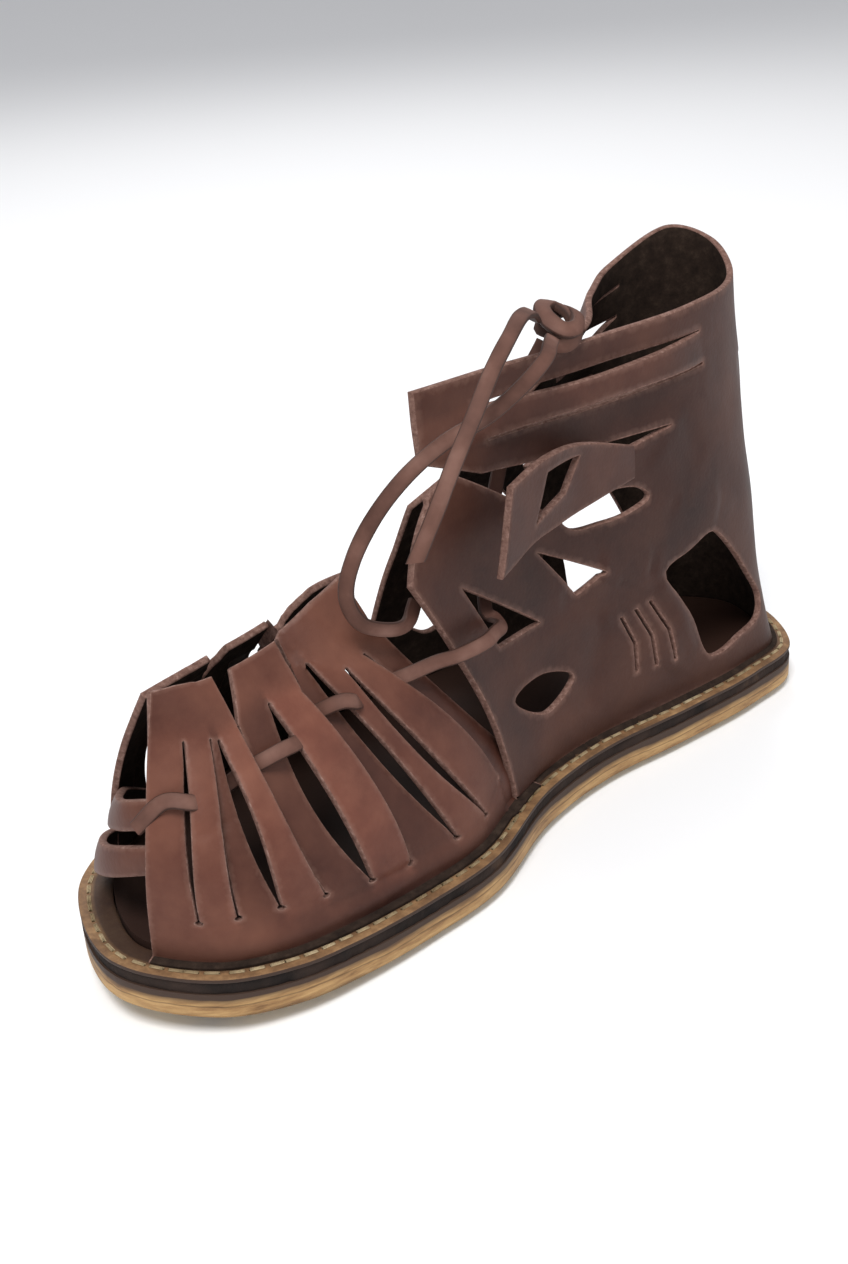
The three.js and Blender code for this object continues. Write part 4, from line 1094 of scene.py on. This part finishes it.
# Soft troughs and ridges that the flat leather makes where it is drawn round the heel
QUARTER_CREASES = [
    (7.0, 0.9, (0.30, 0.10), (0.27, 0.26), (0.31, 0.38), (0.37, 0.43)),
    (5.0, -0.8, (0.42, 0.10), (0.38, 0.30), (0.42, 0.42)),
    (5.0, -0.7, (0.08, 0.10), (0.085, 0.45), (0.10, 0.80)),
    (6.0, 0.6, (0.20, 0.48), (0.26, 0.56), (0.28, 0.68)),
    (4.0, -0.6, (0.22, 0.62), (0.24, 0.74)),
    (3.0, 0.5, (0.40, 0.33), (0.50, 0.33)),
    (2.0, 0.9, (0.300, 0.34), (0.285, 0.27), (0.272, 0.19), (0.262, 0.12)),
]
quarter_form = wall_form(QUARTER_TOP, COLLAR_HEIGHT, HEEL_PEAK_HEIGHT)


def quarter_lay(x, y, depth):
    u, s = x / PLAN.x, y / PLAN.y
    at = -u if u < 0 else u / OUTER_REACH
    along = (at - COLLAR_START) / (COLLAR_END + 0.02 - COLLAR_START)
    bow = math.sin(math.pi * along) if 0 < along < 1 else 0.0
    proud = 0.0
    if COLLAR_CUTS[0] < s < COLLAR_CUTS[1]:
        proud = STRAP_BOW * bow * (1 if u < 0 else 0.4)
    elif s <= COLLAR_CUTS[0]:
        proud = -STRAP_BOW / 2 * bow * ramp(s, 0.72, 0.80)
    proud += min(1.0, max(0.0, (at - 0.47) / 0.06)) * max(0.0, 1 - s / 0.5) * LEATHER * 0.5
    place = quarter_form(u, s)
    proud += crease(at * PLAN.x, y, QUARTER_CREASES) + 0.7 * noise.noise(place * 0.035)
    return place + outward(quarter_form, u, s) * (proud - depth)


def quarter_tone(x, y):
    u, s = x / PLAN.x, y / PLAN.y
    at = -u if u < 0 else u / OUTER_REACH
    # Painted shade: the quarter is kept dark, and the sunk strip below the first collar cut darker still; it is
    # lighter above that cut and towards the front.
    shade = 0.11 + 0.05 * ramp(s, 0.86, 0.92) + 0.07 * ramp(at, 0.36, 0.50)
    # Painted highlight on the bowed collar strap.
    strap = 0.08 * ramp(s, 0.85, 0.86) * (1 - ramp(s, 0.92, 0.935)) * ramp(at, 0.22, 0.30)
    # Painted shade: darker towards the quarter's foot.
    return (shade + strap) * (0.5 + 0.5 * ramp(s, 0.0, 0.1))


front_in = [on_plan(-f, s) for s, f in FRONT_EDGE]
front_out = [on_plan(f * OUTER_REACH, s) for s, f in FRONT_EDGE]
cuts = []
for reach in (-1, OUTER_REACH):
    def on_side(polygon):
        return [on_plan(reach * u, s) for u, s in polygon]

    def rounded(polygon):
        line = closed_curve([on_plan(u, s) for u, s in polygon], 60)
        return [Vector((p.x * reach, p.y)) for p in line]

    cuts += [on_side(NOTCH), *[on_side(hole) for hole in LACE_HOLES]]
    cuts += [rounded(EYE_OPENING), rounded(HEEL_OPENING), rounded(WAIST_OPENING)]
    for top, up, foot, down in COUNTER_SLITS:
        bent = ((top + foot) / 2 - 0.008, (up + down) / 2)
        left = [(top + 0.0016, up), (bent[0] + 0.0026, bent[1]), (foot + 0.0016, down)]
        cuts.append(on_side(left + [(u - 0.0036, s) for u, s in reversed(left)]))
    for level, gap in zip(COLLAR_CUTS, (0.024, 0.012)):
        line = []
        for i in range(31):
            wide = math.sin(math.pi * (0.02 + 0.9 * i / 30)) ** 1.5
            line.append((COLLAR_START + (COLLAR_END - COLLAR_START) * i / 30, wide))
        cuts.append(on_side(
            [(u, level + gap * (0.04 + 0.46 * w)) for u, w in line]
            + [(u, level - gap * (0.04 + 0.46 * w)) for u, w in reversed(line)]))
leather_sheet("quarter", front_in + front_out[::-1], cuts, quarter_lay, quarter_tone, 2.1)

# Upper: strap end
# The free end of the inner strap: it grows out of the quarter behind the eye opening, bends
# outwards and forwards, and has a slanted lace hole of its own.
def spot(along, out, up):
    return Vector((-along * SOLE_LENGTH, out * BALL_WIDTH, TREAD_Z + up * TAB_HEIGHT))


def open_curve(corners, share):
    """A place on a smooth line through the corners, by its share of the line's length."""
    ends = [2 * corners[0] - corners[1], *corners, 2 * corners[-1] - corners[-2]]
    fine = []
    for i in range(1, len(ends) - 2):
        p0, p1, p2, p3 = ends[i - 1:i + 3]
        for k in range(20 + (i == len(ends) - 3)):
            t = k / 20
            fine.append(0.5 * (
                2 * p1 + (p2 - p0) * t + (2 * p0 - 5 * p1 + 4 * p2 - p3) * t * t
                + (3 * p1 - p0 - 3 * p2 + p3) * t**3))
    arc = lengths_along(fine)
    return at_length(fine, arc, min(1.0, max(0.0, share)) * arc[-1])


def band(name, lower, upper, length, width, holes, turn, shade, curl=0.0):
    """A strap between a lower and an upper line, cut from a rectangle."""
    def place(u, s):
        return open_curve(lower, u).lerp(open_curve(upper, u), s)

    def lay(x, y, depth):
        u, s = x / length, y / width
        across = place(min(1, u + 0.02), s) - place(max(0, u - 0.02), s)
        out = across.cross(place(u, 1) - place(u, 0)).normalized() * turn
        at = place(u, s)
        arch = curl * (4 * s * (1 - s) - 0.5) + 0.35 * noise.noise(at * 0.07)
        return at + out * (arch - depth)

    outline = [Vector((0, 0)), Vector((length, 0)), Vector((length, width)), Vector((0, width))]
    cut = [[Vector((u * length, s * width)) for u, s in hole] for hole in holes]
    return leather_sheet(name, outline, cut, lay, lambda x, y: shade, 1.8)


FLAG_ROOT = (-0.300, 0.640, 0.716)
FLAG_LOWER = [(0.445, -0.236, 1.11), (0.523, -0.279, 1.11), (0.584, -0.317, 1.07)]
FLAG_UPPER = [(0.431, -0.250, 1.365), (0.502, -0.288, 1.40), (0.566, -0.317, 1.37)]
flag_roots = [
    quarter_form(FLAG_ROOT[0], s) - outward(quarter_form, FLAG_ROOT[0], s) * LEATHER / 4
    for s in FLAG_ROOT[1:]]
band(
    "strap_end",
    [flag_roots[0], *[spot(*p) for p in FLAG_LOWER]],
    [flag_roots[1], *[spot(*p) for p in FLAG_UPPER]],
    80, 23, [[(0.76, 0.24), (0.72, 0.80), (0.46, 0.84), (0.54, 0.40)]], -1, 0.20)

# Upper: toe bands
# Two narrow straps across the open toe. They start under the outer vamp and are threaded
# behind the first strap of the inner one.
TOE_BANDS = [
    ((0.828, 0.035, 0.14), (0.962, 0.35, 0.46),
     [(0.930, 0.315, 0.24), (0.957, 0.190, 0.33), (0.966, 0.070, 0.40)],
     [(0.915, 0.320, 0.35), (0.948, 0.190, 0.44), (0.960, 0.070, 0.505)]),
    ((0.795, 0.125, 0.245), (0.962, 0.52, 0.63),
     [(0.900, 0.325, 0.38), (0.937, 0.190, 0.48), (0.953, 0.070, 0.55)],
     [(0.886, 0.318, 0.48), (0.924, 0.185, 0.58), (0.944, 0.070, 0.65)]),
]
inner_form = wall_form(VAMP_TOP["inner"], TAB_HEIGHT, INSTEP_HEIGHT)
outer_form = wall_form(VAMP_TOP["outer"], TAB_HEIGHT, INSTEP_HEIGHT)
for number, (start, end, lower, upper) in enumerate(TOE_BANDS, 1):
    low, high = [
        [outer_form(start[0], start[k]) - outward(outer_form, start[0], start[k]) * LEATHER / 3]
        + [spot(*p) for p in row]
        + [inner_form(-end[0], end[k]) - outward(inner_form, -end[0], end[k]) * LEATHER / 3]
        for k, row in ((1, lower), (2, upper))]
    band(f"toe_band_{number}", low, high, 75, 9.5, [], 1, 0.30, 0.6)

# Lace
# A flat leather thong, 4.2 mm wide and 1.8 mm thick, woven through the vamp's slits and the
# first lace hole, knotted over the instep; one strand runs back down, one end hangs free.
LACE_WIDTH = 4.2
LACE_THICK = 1.8
THONG_STEP = 1.1
lace_leather = Finish("lace_leather", 0.68, 0.22)
patchy = lace_leather.noise(55, 4)
side_share = lace_leather.attribute("edge")
tone = lace_leather.steps(
    patchy,
    (0.32, (0.070, 0.030, 0.021)), (0.52, (0.125, 0.058, 0.042)), (0.70, (0.200, 0.105, 0.080)))
tone = lace_leather.mix(side_share, tone, (0.038, 0.018, 0.013))
lace_leather.colour(tone)
lace_leather.bump((lace_leather.noise(380, 5), 0.15, 0.6), (patchy, 0.3, 0.4))


def thong(name, corners, facing, node, width=LACE_WIDTH, thick=LACE_THICK, cut=0.0):
    """A flat thong along a route; facing lists the way its grain side looks, start to end."""
    route = [Vector(p) + Vector((0, 0, TREAD_Z)) for p in corners]
    count = max(12, int(lengths_along(route)[-1] / THONG_STEP))
    line = [open_curve(route, i / count) for i in range(count + 1)]
    section = []
    for a, b, side in (
        (-0.5, -0.2, 0.7), (-0.5, 0.2, 1), (-0.42, 0.46, 0.3), (-0.18, 0.5, 0), (0.18, 0.5, 0),
        (0.42, 0.46, 0.3), (0.5, 0.2, 1), (0.5, -0.2, 0.7), (0.42, -0.46, 0.8), (0.0, -0.5, 0.9),
        (-0.42, -0.46, 0.8),
    ):
        section.append((a * width, b * thick, side))
    sides = len(section)
    points, edge = [], []
    for i, p in enumerate(line):
        along = (line[min(count, i + 1)] - line[max(0, i - 1)]).normalized()
        where = i / count * (len(facing) - 1)
        k = min(len(facing) - 2, int(where))
        face = Vector(facing[k]).normalized().lerp(Vector(facing[k + 1]).normalized(), where - k)
        face = (face - along * face.dot(along)).normalized()
        across = along.cross(face)
        swell = 1 + 0.05 * noise.noise(p * 0.12)
        for a, b, side in section:
            slant = cut * a * (i == count)
            points.append(metres(p + across * a * swell + face * b * swell + along * slant))
            edge.append(side)
    faces = [list(range(sides))[::-1], [count * sides + k for k in range(sides)]]
    for i in range(0, count * sides, sides):
        for k in range(sides):
            j = (k + 1) % sides
            faces.append([i + k, i + j, i + sides + j, i + sides + k])
    piece = laid_piece(name, points, faces, [0] * len(faces), 40, {"edge": edge})
    piece.data.materials.append(lace_leather.material)
    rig.ride(piece, "root")
    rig.replaces(piece, node)
    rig.slot(piece, "lace")
    return piece, [tuple(metres(p)) for p in line]


thong("thong_run", [
    (-268, -2, 50), (-263, -8, 57.5), (-258, -13, 57), (-252, -10, 53), (-244, -8.5, 53.5),
    (-238.5, -13, 58), (-233, -17.5, 61.5), (-227, -17, 61), (-222, -11, 58), (-216, -11, 62),
    (-211, -17, 66), (-206, -17.5, 64), (-200, -11, 60), (-194, -11, 61), (-187.5, -17.5, 64),
    (-181, -22, 66.5), (-176, -27, 68.5), (-168, -28.8, 69.6), (-162, -27.0, 69.6),
    (-157, -24.8, 69), (-154, -20, 68.6), (-153, -15.5, 69.4), (-150, -12.5, 74), (-146, -10.5, 86),
    (-138, -9, 106), (-129, -9.5, 126), (-121, -12, 139),
], [
    (-0.4, -0.6, 0.7), (-0.2, -0.8, 0.6), (-0.2, -0.8, 0.6), (-0.2, -0.9, 0.5), (-0.4, -0.8, 0.4),
    (-0.9, -0.3, 0.2),
], node="lace")
KNOT_MIDDLE = Vector((-118, -15.5, 143.5))
knot, _ = thong("thong_knot", [KNOT_MIDDLE + (Vector(p) - KNOT_MIDDLE) * 0.80 for p in (
    (-126, -15, 139), (-121, -20.5, 138), (-115, -20, 141), (-113, -15, 146), (-116, -10, 149),
    (-122, -11, 149.5), (-125, -16, 147), (-123, -21, 143.5), (-117, -21.5, 143),
    (-111.5, -17, 145.5), (-111, -11, 146), (-115, -8, 144), (-120, -9, 141),
    (-119, -14, 139.5), (-114, -15, 138), (-106, -13, 139),
)], [
    (-0.3, -0.8, -0.4), (0.2, -0.9, 0.3), (0.4, 0, 0.9), (-0.6, -0.5, 0.6), (0, -0.9, 0.4),
    (0.6, 0.2, 0.8), (-0.4, 0.2, -0.8), (0, 0, 1),
], width=4.8, thick=2.6, node="lace_knot")
loop, loop_path = thong("thong_loop", [
    (-126, -19.3, 141.9), (-133.5, -25, 143), (-141, -29.5, 141.5), (-153, -31, 137),
    (-166, -31, 133), (-179, -29, 130), (-190, -26, 124), (-198, -22, 115),
    (-203, -18, 104), (-204, -15, 93),
    (-199.5, -14.5, 83.5), (-191, -15.5, 78.5), (-184, -15.5, 77.5), (-178, -13, 81),
], [
    (-0.3, -0.7, 0.7), (-0.3, -0.8, 0.6), (-0.6, -0.7, 0.4), (-0.8, -0.6, 0), (-0.5, -0.8, 0),
], node="lace_loop")
end, end_path = thong("thong_end", [
    (-126.9, -13.8, 147), (-134.5, -19, 151), (-145, -25, 153), (-155, -30, 151), (-166, -34, 146),
    (-176, -36.5, 137.5), (-184.5, -37, 127.5), (-192, -37, 117), (-199, -36, 106),
], [(-0.2, -0.5, 0.9), (-0.5, -0.6, 0.6), (-0.7, -0.7, 0.3)], cut=0.55, node="lace_end")
length = lengths_along([Vector(p) for p in loop_path])[-1]
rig.cord(
    loop, exit=loop_path[0], length=length, diameter=LACE_WIDTH / 1000, far_end="object",
    stiffness="medium", lay="hanging", path=loop_path, with_pieces=[knot])
length = lengths_along([Vector(p) for p in end_path])[-1]
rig.cord(
    end, exit=end_path[0], length=length, diameter=LACE_WIDTH / 1000, far_end="bare",
    stiffness="medium", lay="hanging", path=end_path)

# Sizes
# The solid model's box and the finished model's box, for comparison.
with open("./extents.json", "w") as sizes:
    json.dump({
        "solid": [list(corner) for corner in solid_box],
        "visual": [list(corner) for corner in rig.bounds()],
    }, sizes)
